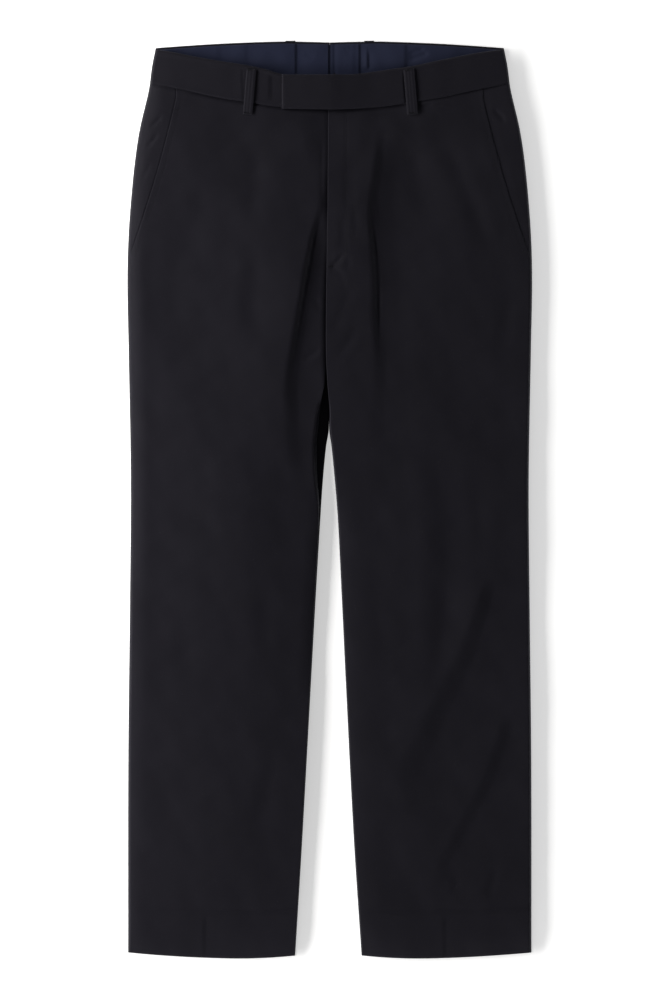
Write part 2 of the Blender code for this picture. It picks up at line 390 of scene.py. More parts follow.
# The left inseam, the same in front and behind, from the hem to just below the fork.
LEFT_INSEAM = (0.0377, 0.0282, 0.0186, 0.0142, 0.0096, 0.0059, 0.002)
# Distances across at which the lines of the waist are set.
WAIST_PLACES = (0.0, 0.03, 0.057, 0.075, 0.095, 0.129, 0.162, 0.19, 0.212)


@dataclass(frozen=True)
class Cut:
    """The lines of the trousers as they lie: outline, inner edges, waist, hem and pockets.

    The hem's arc is lowest at the share hem_low of the way out from the inseam. It rises to the
    inseam and to the outer seam by the two heights of hem_arc, with the two powers of hem_bow.
    """

    hem_y: float = -0.5362
    fork_y: float = 0.0845
    waist_y: float = 0.4562
    pocket_end_y: float = 0.279
    pocket_top_x: float = 0.1795
    pocket_top_y: float = 0.47
    pocket_bow: float = 0.25
    pocket_stitch: float = 0.0062
    hem_depth: float = 0.0535
    hem_low: float = 0.34
    hem_arc: Pair = (0.0035, 0.007)
    hem_bow: Pair = (2.0, 1.7)
    hem_arc_top_y: float = -0.44
    band_height: float = 0.0415
    ease: float = 0.0006
    outline: Curve = Curve(
        (-0.54, -0.304, -0.1168, 0.0236, 0.1757, 0.2576, 0.3161, 0.3863, 0.4331, 0.4799, 0.508, 0.53),
        (0.2354, 0.2352, 0.2332, 0.2322, 0.2348, 0.2362)
        + (0.2345, 0.2286, 0.2219, 0.2111, 0.2072, 0.2028),
    )
    right_front: Curve = Curve(
        (-0.54, -0.3976, -0.2104, -0.1168, -0.06, -0.0232, 0.0, 0.0236, 0.0634, 0.0845)
        + (*FLY_LEVELS, *TOP_LEVELS),
        (-0.0409, -0.0322, -0.022, -0.017, -0.0138, -0.012, -0.012, -0.0138, -0.0148, -0.0133)
        + (-0.0106, -0.0096, -0.0074, -0.0068, -0.0051, -0.0037),
    )
    left_front: Curve = Curve(
        LEG_LEVELS + FLY_LEVELS + TOP_LEVELS,
        LEFT_INSEAM + (-0.0004, -0.0008, -0.0029, -0.0043, -0.0044, -0.0027, -0.0013),
    )
    right_back: Curve = Curve(
        LEG_LEVELS + TOP_LEVELS,
        (-0.0409, -0.0322, -0.0218, -0.0166, -0.0111, -0.008, -0.0042)
        + (-0.001, -0.0008, -0.0004, -0.0002),
    )
    left_back: Curve = Curve(
        LEG_LEVELS + TOP_LEVELS, LEFT_INSEAM + (-0.0007, -0.0005, -0.0001, 0.0002)
    )
    right_band_top: Curve = Curve(
        WAIST_PLACES, (0.4981, 0.4982, 0.4989, 0.5043, 0.5087, 0.514, 0.5199, 0.5256, 0.5284)
    )
    left_band_top: Curve = Curve(
        WAIST_PLACES, (0.4981, 0.4986, 0.5022, 0.505, 0.5077, 0.515, 0.5216, 0.526, 0.5284)
    )
    waist_seam: Curve = Curve(
        WAIST_PLACES, (0.4562, 0.4571, 0.459, 0.4612, 0.4644, 0.4698, 0.4772, 0.4829, 0.4876)
    )
    back_rim: Curve = Curve(
        WAIST_PLACES, (0.536, 0.5368, 0.5371, 0.5367, 0.536, 0.5345, 0.5325, 0.5305, 0.5288)
    )

    def front_inner(self, side: Side, y: Array) -> Array:
        """Place across of a front's inner edge at a level."""
        return (self.left_front if side is Side.LEFT else self.right_front).at(y)

    def back_inner(self, side: Side, y: Array) -> Array:
        """Place across of a back's inner edge at a level."""
        return (self.left_back if side is Side.LEFT else self.right_back).at(y)

    def outer(self, y: Array) -> Array:
        """Half width of the garment at a level."""
        return self.outline.at(y) + self.ease

    def share_out(self, side: Side, x: Array, y: Array, inner: Array) -> Array:
        """Share of the way from an inner edge to the outer seam at a level."""
        return np.clip((x - inner) / (side.value * self.outer(y) - inner), 0.0, 1.0)

    def mouth(self, y: Array) -> Array:
        """Distance of the pocket mouth from the centre, and of the side seam below it.

        Args:
            y: levels.

        Returns:
            Distance from the centre at each level.
        """
        share = (self.pocket_top_y - y) / (self.pocket_top_y - self.pocket_end_y)
        held = np.clip(share, 0.0, 1.0)
        eased = held * (1.0 - self.pocket_bow + self.pocket_bow * held)
        slant = mix(self.pocket_top_x, self.outer(np.asarray(self.pocket_end_y)), eased)
        return np.where(share >= 1.0, self.outer(y), slant)

    def hem_rise(self, y: Array, share: Array) -> Array:
        """How far the hem's arc lifts a point, by its share of the way out from the inseam.

        Args:
            y: levels.
            share: shares of the way out from the inseam.

        Returns:
            The rise at each point.
        """
        inwards = np.clip(1.0 - share / self.hem_low, 0.0, 1.0) ** self.hem_bow[0]
        outwards = np.clip((share - self.hem_low) / (1.0 - self.hem_low), 0.0, 1.0) ** self.hem_bow[1]
        arc = self.hem_arc[0] * inwards + self.hem_arc[1] * outwards
        return arc * smooth(self.hem_arc_top_y, self.hem_y, y)


CUT = Cut()


# ------------ how the cloth lies

# The middle of the valley down the inside of the right thigh.
VALLEY: Path = (
    (-0.0164, 0.3161),
    (-0.0234, 0.281),
    (-0.031, 0.2342),
    (-0.0386, 0.1874),
    (-0.0456, 0.1406),
    (-0.0447, 0.1055),
)


@dataclass(frozen=True)
class Roll:
    """A seam's soft shoulder: its reach, and the share of the loft that it climbs."""

    reach: float
    share: float | Array


@dataclass(frozen=True)
class Drape:
    """Heights of the cloth above the surface, with every fold of the fronts.

    A pair named edge holds how far a rounded edge reaches in, and how far it drops.
    """

    front_seat: float = 0.0015
    band_seat: float = 0.0034
    seat_span: Pair = (0.4, 0.475)
    front_loft: float = 0.0115
    hem_loft: float = 0.01
    solid_wall: float = 0.0012
    edge_roll: float = 0.0034
    roll_power: float = 2.4
    seam_edge: Pair = (0.0024, 0.0006)
    fork_span: Pair = (0.12, 0.08)
    right_outer: Roll = Roll(0.022, 0.48)
    right_shin: float = 0.3
    right_shin_span: Pair = (0.02, -0.14)
    left_outer: Roll = Roll(0.02, 0.0)
    left_ridge: float = 0.0006
    left_ridge_reach: float = 0.035
    right_band: Roll = Roll(0.11, 0.4)
    inner_edge_roll: float = 0.0016
    inner_span: Pair = (0.06, -0.06)
    left_inner: Roll = Roll(0.03, 0.28)
    right_inner: Roll = Roll(0.018, 0.24)
    right_inner_span: Pair = (-0.27, -0.15)
    fork_roll: float = 0.0042
    fork_roll_span: Pair = (-0.03, 0.04)
    fly_lap: float = 0.0004
    fly_lap_reach: float = 0.05
    fly_lap_span: Pair = (0.2, 0.24)
    fly_dip_span: Pair = (0.11, 0.14)
    fly_dip: Curve = Curve(
        (0.1, 0.1874, 0.234, 0.2576, 0.281, 0.304, 0.327, 0.351, 0.374, 0.398, 0.46),
        (0.0018, 0.0018, 0.0016, 0.0013, 0.001, 0.0004, 0.0007, 0.0022, 0.0013, 0.0007, 0.0006),
    )
    fly_dip_reach: Curve = Curve(
        (0.1, 0.234, 0.2576, 0.281, 0.304, 0.327, 0.351, 0.374, 0.398, 0.46),
        (0.007, 0.0065, 0.0055, 0.0045, 0.005, 0.006, 0.011, 0.0085, 0.006, 0.006),
    )
    hem_sag: float = 0.0046
    hem_sag_reach: float = 0.042
    hem_sag_power: float = 2.2
    hem_floor: float = 0.0022
    hem_edge: Pair = (0.0022, 0.0008)
    hem_turn: float = 0.0002
    hem_turn_reach: float = 0.0012
    hem_dent: float = 0.00036
    hem_dent_above: float = 0.003
    hem_dent_reach: float = 0.005
    hem_uneven: float = 0.35
    hem_waves: Triple = (61.0, 37.0, 1.3)
    lip: float = 0.0003
    lip_reach: float = 0.022
    lip_edge: Pair = (0.0016, 0.0005)
    ripples: tuple[Ripple, ...] = (
        Ripple(0.00038, 0.06, 0.17, 5),
        Ripple(0.00013, 0.022, 0.055, 9, 0.9),
        Ripple(0.0002, 0.045, 0.1, 31, 1.2),
    )
    folds: tuple[Crease, ...] = (
        # The deep fold from the fly down the inside of the right thigh: a step and its valley.
        step(
            ((-0.0066, 0.364), *VALLEY, (-0.0427, 0.0704), (-0.036, 0.0236), (-0.033, -0.03)),
            0.0062, 0.0024, fade=(0.22, 0.56), rise=(0.075, 0.16), split=0.62, spread=5.8, tail=(0.3, 4.0),
        ),
        # The dark hollow at the foot of that step.
        Crease(((-0.012, 0.337), *VALLEY), 0.0028, 0.0038, fade=(0.18, 0.7)),
        # The long fold down the left front from beside the loop, and the fan on its left.
        step(
            ((0.06, 0.442), (0.0573, 0.4097), (0.0545, 0.3805), (0.05, 0.3512), (0.0515, 0.3044),
             (0.0545, 0.2576), (0.0548, 0.2108), (0.059, 0.164), (0.0575, 0.1172), (0.0535, 0.06)),
            0.0044, 0.0055, fade=(0.12, 0.42), rise=(0.175, 0.06), split=0.25, spread=1.8, tail=(0.35, 4.0),
        ),
        # The darker hollow in that fold.
        Crease(
            ((0.05, 0.36), (0.0491, 0.3278), (0.0538, 0.2927), (0.0556, 0.2576), (0.0562, 0.2342),
             (0.0573, 0.1874), (0.059, 0.15)),
            0.0018, 0.004, fade=(0.22, 0.4),
        ),
        step(
            ((0.0725, 0.435), (0.07, 0.375), (0.07, 0.31)),
            0.002, 0.016, fade=(0.25, 0.5), rise=(0.11, 0.04), split=0.3,
        ),
        # The slanted folds of the left shin.
        step(
            ((0.193, -0.085), (0.185, -0.1051), (0.173, -0.1402), (0.1568, -0.187), (0.1322, -0.2338),
             (0.1112, -0.2806), (0.0878, -0.3274), (0.0679, -0.3683)),
            0.0036, 0.0085, fade=(0.12, 0.34), rise=(0.09, 0.07), spread=2.3, tail=(0.2, 3.0),
        ),
        step(
            ((0.211, -0.248), (0.199, -0.287), (0.184, -0.3274), (0.16, -0.3742), (0.135, -0.421),
             (0.125, -0.456)),
            0.0021, 0.0085, fade=(0.12, 0.22), rise=(0.05, 0.055), tail=(0.2, 3.0),
        ),
        Crease(((0.196, -0.425), (0.19, -0.448), (0.184, -0.47)), 0.0005, 0.009, fade=(0.3, 0.4)),
        Crease(((0.142, -0.435), (0.148, -0.448), (0.14, -0.462)), 0.0004, 0.009, fade=(0.3, 0.4)),
        # The long soft hollow down the left thigh.
        Crease(
            ((0.12, 0.1137), (0.136, -0.0173), (0.138, -0.115), (0.129, -0.187), (0.113, -0.255)),
            0.0012, 0.022, fade=(0.45, 0.25), lee=1.4, left=0.0004, right=0.0006,
        ),
        # The slow rise over the fork, and the slow arch of the right leg.
        ridge(((-0.045, 0.456), (-0.045, 0.3), (-0.05, 0.03)), 0.0036, 0.165, (0.35, 0.35)),
        ridge(((-0.108, 0.23), (-0.116, -0.15), (-0.123, -0.56)), 0.0034, 0.12, (0.3, 0.35)),
        ridge(((-0.106, 0.15), (-0.102, -0.03), (-0.104, -0.21)), 0.0026, 0.09, (0.5, 0.5)),
        # The cloth falls away towards the fly below the tab.
        step(
            ((-0.018, 0.46), (-0.015, 0.41), (-0.011, 0.365)),
            0.0018, 0.02, fade=(0.02, 0.5), rise=(0.09, 0.07), split=0.6,
        ),
        step(
            ((-0.054, 0.464), (-0.053, 0.445), (-0.05, 0.415)),
            0.003, 0.039, fade=(0.02, 0.75), rise=(0.17, 0.06), split=0.0,
        ),
        step(
            ((0.064, 0.464), (0.064, 0.445), (0.062, 0.42)),
            0.0022, 0.026, fade=(0.02, 0.75), rise=(0.11, 0.06), split=0.0,
        ),
        # Soft pulls that fan out below the waistband.
        Crease(((-0.1392, 0.3887), (-0.1661, 0.3044), (-0.1966, 0.2214)), 0.0004, 0.022, left=0.0002),
        Crease(((-0.084, 0.4232), (-0.087, 0.37), (-0.09, 0.32)), 0.0006, 0.018, left=0.0002),
        step(
            ((-0.093, 0.32), (-0.097, 0.25), (-0.103, 0.185)),
            0.0015, 0.014, fade=(0.4, 0.4), rise=(0.05, 0.06),
        ),
        Crease(((0.0784, 0.432), (0.0936, 0.4039), (0.1076, 0.3735)), 0.0004, 0.016, left=0.0001),
        step(
            ((0.043, 0.458), (0.045, 0.43), (0.044, 0.395)),
            0.0012, 0.014, fade=(0.05, 0.5), rise=(0.06, 0.06),
        ),
        step(
            ((0.118, 0.456), (0.12, 0.42), (0.123, 0.38)),
            0.0012, 0.016, fade=(0.1, 0.5), rise=(0.06, 0.06),
        ),
        Crease(((0.1357, 0.4249), (0.1638, 0.3512), (0.1942, 0.2728)), 0.0009, 0.019, right=0.0003),
        step(
            ((0.085, 0.454), (0.089, 0.42), (0.093, 0.36), (0.092, 0.295)),
            0.0015, 0.015, fade=(0.1, 0.45), rise=(0.07, 0.05), split=0.4,
        ),
        # Shallow dents on the hips and the legs.
        dent(((-0.2218, 0.282), (-0.208, 0.252), (-0.1985, 0.22)), 0.0003, 0.014),
        dent(((0.219, 0.25), (0.205, 0.205), (0.196, 0.16)), 0.0006, 0.016),
        dent(((-0.076, -0.09), (-0.0749, -0.14), (-0.0735, -0.195)), 0.0007, 0.02),
        dent(((-0.185, -0.145), (-0.165, -0.19), (-0.15, -0.23)), 0.0005, 0.022),
        dent(((-0.175, 0.09), (-0.15, 0.03), (-0.135, -0.04)), 0.0003, 0.022),
        dent(((-0.06, -0.25), (-0.07, -0.33), (-0.095, -0.42)), 0.0007, 0.02),
        dent(((0.165, 0.06), (0.175, -0.02), (0.172, -0.09)), 0.0006, 0.018),
        dent(((0.052, -0.04), (0.056, -0.13), (0.07, -0.23)), 0.0004, 0.018),
        # Pulls at the fly and the fork.
        dent(((0.023, 0.4), (0.0235, 0.37), (0.023, 0.335)), 0.0006, 0.014),
        Crease(
            ((-0.0086, 0.425), (-0.0088, 0.4097), (-0.0096, 0.3395)),
            0.0004, 0.003, fade=(0.2, 0.3),
        ),
        Crease(((0.015, 0.345), (0.015, 0.31), (0.013, 0.285)), 0.0005, 0.007, fade=(0.4, 0.3)),
        dent(((0.029, 0.345), (0.0298, 0.3278), (0.03, 0.305)), 0.0004, 0.007),
        Crease(((-0.021, 0.24), (-0.015, 0.23), (-0.01, 0.22)), 0.0005, 0.006, fade=(0.3, 0.3)),
        Crease(((0.028, 0.255), (0.013, 0.22), (0.002, 0.19)), 0.0004, 0.01, left=0.0001),
        Crease(((0.033, 0.205), (0.015, 0.175), (0.001, 0.16)), 0.0004, 0.008, left=0.0002),
        Crease(((-0.032, 0.165), (-0.022, 0.17), (-0.011, 0.178)), 0.0006, 0.006, right=0.0003),
        Crease(((-0.001, 0.2775), (0.0045, 0.276), (0.0105, 0.281), (0.017, 0.29)), 0.0011, 0.0036),
        Crease(((-0.001, 0.269), (0.008, 0.268), (0.0165, 0.26)), 0.0006, 0.004, left=0.0001),
        Crease(((0.02, 0.286), (0.0215, 0.278), (0.02, 0.269)), 0.0006, 0.0036),
        Crease(((0.013, 0.262), (0.0165, 0.254), (0.016, 0.244)), 0.0002, 0.005, left=0.0001),
        # The press mark near each hem.
        *(
            step(((x, -0.478), (x, -0.51), (end, -0.54)), 0.0005, 0.0012, (0.3, 0.02), (0.012, 0.012))
            for x, end in ((-0.1469, -0.147), (0.1336, 0.1337))
        ),
    )

    def underside(self, side: Side, x: Array, y: Array) -> Array:
        """Height of the underside of the solid front, with its folds.

        Args:
            side: the side.
            x: distances across.
            y: levels.

        Returns:
            The height at each point.
        """
        sign = side.value
        seat = mix(self.front_seat, self.band_seat, smooth(*self.seat_span, y))
        soft = self.left_inner if side is Side.LEFT else self.right_inner
        share = soft.share * smooth(*self.inner_span, y)
        edge = self.inner_edge_roll
        if side is Side.RIGHT:
            share = share * smooth(*self.right_inner_span, y)
            edge = edge + self.fork_roll * smooth(*self.fork_roll_span, y)
        inner = CUT.front_inner(side, y)
        inwards = self.rolled(sign * (x - inner), Roll(soft.reach, share), edge)
        inwards = 1.0 - smooth(*self.fork_span, y) * (1.0 - inwards)
        held = self.outwards(side, x, y) * inwards
        folds = reliefs(self.folds + self.ripples, x, y)
        loft = mix(self.hem_loft, self.front_loft, smooth(CUT.hem_y, CUT.fork_y, y)) - seat
        height = seat + held * (loft + folds)
        if side is Side.LEFT:
            height = height + self.left_ridge * smooth(self.left_ridge_reach, 0.0, CUT.outer(y) - x)
        return height

    def rolled(self, distance: Array, soft: Roll, reach: float | Array) -> Array:
        """Share of the full loft at a distance in from a seam, past its edge and its shoulder.

        Args:
            distance: distances in from the seam.
            soft: its shoulder.
            reach: how far its edge reaches in.

        Returns:
            The share at each distance.
        """
        edge = 1.0 - (1.0 - np.clip(distance / reach, 0.0, 1.0)) ** self.roll_power
        shoulder = 1.0 - (1.0 - np.clip(distance / soft.reach, 0.0, 1.0)) ** self.roll_power
        return mix(edge, shoulder, soft.share)

    def outwards(self, side: Side, x: Array, y: Array) -> Array:
        """Share of the full loft by the distance in from the outer seam.

        Args:
            side: the side.
            x: distances across.
            y: levels.

        Returns:
            The share at each point.
        """
        soft = self.left_outer
        if side is Side.RIGHT:
            share = mix(self.right_outer.share, self.right_shin, smooth(*self.right_shin_span, y))
            soft = Roll(self.right_outer.reach, share)
        return self.rolled(CUT.outer(y) - np.abs(x), soft, self.edge_roll)

    def rounded(self, distance: Array, reach: float, drop: float) -> Array:
        """Drop of an edge that rounds over within a short reach of it."""
        share = np.clip(distance / reach, 0.0, 1.0)
        return -drop * (1.0 - np.sqrt(1.0 - (1.0 - share) ** 2))

    def front(self, side: Side, x: Array, y: Array) -> Array:
        """Height of the upper face of a front or a pocket facing, without laps.

        Args:
            side: the side.
            x: distances across.
            y: levels.

        Returns:
            The height at each point.
        """
        height = self.underside(side, x, y) + self.solid_wall
        height = height + self.rounded(CUT.outer(y) - np.abs(x), *self.seam_edge)
        inner = CUT.front_inner(side, y)
        inwards = self.rounded(side.value * (x - inner), *self.seam_edge)
        height = height + smooth(*self.fork_span, y) * inwards
        above = y - CUT.hem_y - CUT.hem_rise(y, CUT.share_out(side, x, y, inner))
        height = height + self.hem_marks(x, above - CUT.hem_depth)
        free = np.clip((height - self.hem_floor) / (self.hem_loft - self.hem_floor), 0.0, 1.0)
        sag = -self.hem_sag * np.clip(1.0 - above / self.hem_sag_reach, 0.0, 1.0) ** self.hem_sag_power
        return height + free * (sag + self.rounded(above, *self.hem_edge))

    def hem_marks(self, x: Array, above: Array) -> Array:
        """The edge of the turned hem, and the uneven dent that its stitches draw above it.

        Args:
            x: distances across.
            above: distances above the hem's upper edge.

        Returns:
            Height that they add at each point.
        """
        turned = self.hem_turn * smooth(self.hem_turn_reach, -self.hem_turn_reach, above)
        dented = self.hem_dent * bell(above - self.hem_dent_above, self.hem_dent_reach)
        short, long, shift = self.hem_waves
        waves = np.sin(x * short + shift) * np.sin(x * long)
        return turned - dented * (1.0 - self.hem_uneven * (1.0 - waves))


DRAPE = Drape()


# ------------ cloth meshes


def link(obj: bpy.types.Object) -> bpy.types.Object:
    """Puts an object in the scene."""
    bpy.context.scene.collection.objects.link(obj)
    return obj


@dataclass
class Cloth:
    """A closed shell of cloth on a grid of points, with its rims rounded.

    The grid holds rows along y and columns along x, so its faces point up.
    """

    name: str
    grid: Array
    wall: float
    rim_steps: tuple[float, ...] = (45.0, 0.0, -45.0)

    def normals(self) -> Array:
        """Unit normals of the grid."""
        across = np.gradient(self.grid, axis=1)
        along = np.gradient(self.grid, axis=0)
        found = np.cross(across, along)
        return found / np.linalg.norm(found, axis=2, keepdims=True)

    def build(self, material: bpy.types.Material) -> bpy.types.Object:
        """Makes the object.

        Args:
            material: finish of the whole piece.

        Returns:
            The object, in the scene, with a map of the cloth in metres named cloth.
        """
        rows, columns, _ = self.grid.shape
        normals = self.normals()
        top = self.grid.reshape(-1, 3)
        under = (self.grid - normals * self.wall).reshape(-1, 3)
        index = np.arange(rows * columns).reshape(rows, columns)
        loop = np.concatenate([index[0, :-1], index[:-1, -1], index[-1, :0:-1], index[:0:-1, 0]])
        edge = top[loop]
        up = normals.reshape(-1, 3)[loop]
        run = np.roll(edge, -1, 0) - np.roll(edge, 1, 0)
        out = np.cross(run, up)
        out /= np.linalg.norm(out, axis=1, keepdims=True)
        out[np.isin(loop, index[:: rows - 1, :: columns - 1])] *= math.sqrt(2.0)
        half = self.wall / 2.0
        count = rows * columns
        points = [top, under]
        rings = [loop]
        for angle in np.radians(self.rim_steps):
            ring = edge - up * half + half * (up * math.sin(angle) + out * math.cos(angle))
            rings.append(2 * count + np.arange(len(loop)) + (len(rings) - 1) * len(loop))
            points.append(ring)
        rings.append(loop + count)
        faces = [self.quads(index), self.quads(index)[:, ::-1] + count]
        for first, second in zip(rings, rings[1:]):
            faces.append(np.stack([first, second, np.roll(second, -1), np.roll(first, -1)], 1))
        mesh = bpy.data.meshes.new(self.name)
        mesh.from_pydata(np.concatenate(points).tolist(), [], np.concatenate(faces).tolist())
        flat = self.flattened().reshape(-1, 2)
        spots = np.concatenate([flat, flat] + [flat[loop]] * len(self.rim_steps))
        corners = np.empty(len(mesh.loops), np.int32)
        mesh.loops.foreach_get("vertex_index", corners)
        layer = mesh.uv_layers.new(name="cloth")
        layer.uv.foreach_set("vector", spots[corners].astype(np.float32).ravel())
        mesh.shade_smooth()
        mesh.materials.append(material)
        return link(bpy.data.objects.new(self.name, mesh))

    def quads(self, index: Array) -> Array:
        """Corners of the grid's faces."""
        corners = (index[:-1, :-1], index[:-1, 1:], index[1:, 1:], index[1:, :-1])
        return np.stack([corner.ravel() for corner in corners], 1)

    def flattened(self) -> Array:
        """Where each point lay on the flat cloth, in metres."""
        steps = np.linalg.norm(np.diff(self.grid, axis=1), axis=2)
        across = np.concatenate([np.zeros((len(steps), 1)), np.cumsum(steps, 1)], 1)
        across = across + self.grid[:, :1, 0]
        steps = np.linalg.norm(np.diff(self.grid, axis=0), axis=2)
        along = np.concatenate([np.zeros((1, steps.shape[1])), np.cumsum(steps, 0)], 0)
        return np.stack([across, along + self.grid[:1, :, 1]], 2)


def spaced(near: float, far: float, wide: float, fine: float, edges: int) -> Array:
    """Positions from near to far, closer together towards both ends.

    Args:
        near: first position.
        far: last position.
        wide: spacing in the middle.
        fine: spacing at the ends.
        edges: number of steps over which the spacing grows.

    Returns:
        The positions, first and last included.
    """
    grow = fine * (wide / fine) ** (np.arange(edges) / edges)
    rim = np.concatenate([[0.0], np.cumsum(grow)])
    middle = far - near - 2.0 * rim[-1]
    count = max(int(round(middle / wide)), 1)
    inside = np.linspace(rim[-1], rim[-1] + middle, count + 1)[1:-1]
    return near + np.concatenate([rim, inside, (far - near - rim)[::-1]])


def panel(
    edges: Callable[[Array], tuple[Array, Array]],
    levels: Array,
    shares: Array,
    lift: Callable[[Array, Array], Array],
) -> tuple[Array, Array]:
    """Places the points of a panel whose rows bend and whose edges follow two curves.

    Args:
        edges: the two edges at a level, in order of x.
        levels: level of each row.
        shares: share across the panel of each column.
        lift: how far a row rises at a place across.

    Returns:
        x and y of every point, as rows by columns.
    """
    level, share = np.meshgrid(levels, shares, indexing="ij")
    y = level
    for _ in range(ROUNDS):
        low, high = edges(y)
        x = mix(low, high, share)
        y = level + lift(x, level)
    return x, y


def shares_of(width: float, wide: float, fine: float, edges: int) -> Array:
    """Column shares of a panel of a width, closer together at both edges."""
    return spaced(0.0, width, wide, fine, edges) / width


# ------------ node groups

# Sockets of a colour mix, which share their names with those of its other kinds.
MIX_COLOURS = (6, 7)
MIX_RESULT = 2


class Graph:
    """Adds and joins the nodes of one shader or geometry tree."""

    def __init__(self, tree: bpy.types.NodeTree) -> None:
        """Takes the tree to fill."""
        self.tree = tree

    def add(self, kind: str, label: str = "", **settings: object) -> bpy.types.Node:
        """Adds a node and sets its properties.

        Args:
            kind: the node's type.
            label: its name in the tree.
            settings: properties of the node by name.

        Returns:
            The node.
        """
        node = self.tree.nodes.new(kind)
        if label:
            node.name = label
        for name, value in settings.items():
            setattr(node, name, value)
        return node

    def join(self, source: Socket, target: Socket) -> None:
        """Links an output to an input."""
        self.tree.links.new(source, target)

    def math(self, operation: str, *terms: object) -> Socket:
        """Adds a math node.

        Args:
            operation: what it works out.
            terms: sockets or numbers, in order.

        Returns:
            Its output.
        """
        node = self.add("ShaderNodeMath", operation=operation)
        for socket, term in zip(node.inputs, terms):
            if isinstance(term, Socket):
                self.join(term, socket)
            else:
                socket.default_value = term
        return node.outputs[0]

    def blend(
        self,
        share: Socket,
        first: Colour | Socket,
        second: Colour | Socket,
    ) -> Socket:
        """Adds a mix of two colours.

        Args:
            share: share of the second colour.
            first: a colour, or the socket that gives it.
            second: a colour, or the socket that gives it.

        Returns:
            Its output.
        """
        node = self.add("ShaderNodeMix", data_type="RGBA")
        self.join(share, node.inputs["Factor"])
        for index, colour in zip(MIX_COLOURS, (first, second)):
            if isinstance(colour, Socket):
                self.join(colour, node.inputs[index])
            else:
                node.inputs[index].default_value = (*colour, 1.0)
        return node.outputs[MIX_RESULT]

    def bump(
        self,
        height: Socket,
        distance: float,
        normal: Socket | None = None,
    ) -> Socket:
        """Adds a bump on a surface or on another bump.

        Args:
            height: relief of the bump.
            distance: depth of the relief.
            normal: normal of the bump below it, if there is one.

        Returns:
            The bumped normal.
        """
        node = self.add("ShaderNodeBump")
        node.inputs["Distance"].default_value = distance
        self.join(height, node.inputs["Height"])
        if normal:
            self.join(normal, node.inputs["Normal"])
        return node.outputs["Normal"]

    def place_group(
        self, name: str, place: Socket, **values: float
    ) -> bpy.types.bpy_prop_collection:
        """Adds a node group that reads a place.

        Args:
            name: name of the group.
            place: socket that gives the place.
            values: its other inputs by name.

        Returns:
            Its outputs.
        """
        node = self.add("ShaderNodeGroup", node_tree=bpy.data.node_groups[name])
        self.join(place, node.inputs["Place"])
        for label, value in values.items():
            node.inputs[label].default_value = value
        return node.outputs


def group_tree(name: str, kind: str, inputs: dict[str, tuple], outputs: dict[str, str]) -> Graph:
    """Starts a node group with named sockets.

    Args:
        name: name of the group.
        kind: type of its tree.
        inputs: type and default of each input by name.
        outputs: type of each output by name.

    Returns:
        The group's graph, with nodes named In and Out.
    """
    tree = bpy.data.node_groups.new(name, kind)
    for label, (socket_type, default) in inputs.items():
        socket = tree.interface.new_socket(label, in_out="INPUT", socket_type=socket_type)
        if default is not None:
            socket.default_value = default
    for label, socket_type in outputs.items():
        tree.interface.new_socket(label, in_out="OUTPUT", socket_type=socket_type)
    graph = Graph(tree)
    graph.add("NodeGroupInput", "In")
    graph.add("NodeGroupOutput", "Out")
    return graph


# The twill: heights of its ribs and of the yarns across them, how much closer the yarns lie,
# and how soon the painted shade in the gaps between them turns dark.
RIB_HEIGHT = 0.36
YARN_HEIGHT = 0.14
YARN_PITCH = 1.5
SHADE_POWER = 0.7
# The nap: detail of each of its noises, shares of the finer one in its height and of the
# slower one in its tone, and how close and how large its specks are.
NAP_DETAIL = {"Fibre": 2.0, "Slub": 3.0, "Patch": 4.0}
FIBRE_SHARE = 0.6
PATCH_SHARE = 0.55
SPECKS = 160.0
SPECK_SIZE = 0.06


def twill_group() -> bpy.types.NodeTree:
    """Fine diagonal ribs of a worsted twill, from a place on the cloth in metres.

    Returns:
        The group. Height is the relief of the ribs, and Shade is painted shade that is darker between them.
    """
    graph = group_tree(
        "twill weave",
        "ShaderNodeTree",
        {
            "Place": ("NodeSocketVector", None),
            "Pitch": ("NodeSocketFloat", 0.0006),
            "Steepness": ("NodeSocketFloat", 1.0),
        },
        {"Height": "NodeSocketFloat", "Shade": "NodeSocketFloat"},
    )
    into = graph.tree.nodes["In"].outputs
    parts = graph.add("ShaderNodeSeparateXYZ")
    graph.join(into["Place"], parts.inputs[0])
    turns = graph.math("DIVIDE", 2.0 * math.pi, into["Pitch"])
    across = graph.math("MULTIPLY", parts.outputs[0], turns)
    along = graph.math("MULTIPLY", parts.outputs[1], turns)
    steep = graph.math("MULTIPLY", across, into["Steepness"])
    rib = graph.math("SINE", graph.math("ADD", steep, along))
    crossing = graph.math("MULTIPLY", graph.math("SUBTRACT", along, steep), YARN_PITCH)
    ribs = graph.math("MULTIPLY", rib, RIB_HEIGHT)
    yarns = graph.math("MULTIPLY", graph.math("SINE", crossing), YARN_HEIGHT)
    height = graph.math("ADD", graph.math("ADD", ribs, yarns), RIB_HEIGHT + YARN_HEIGHT)
    out = graph.tree.nodes["Out"].inputs
    graph.join(height, out["Height"])
    # Painted shade: the low gaps between the ribs come out darker in the cloth's colour.
    graph.join(graph.math("POWER", height, SHADE_POWER), out["Shade"])
    return graph.tree


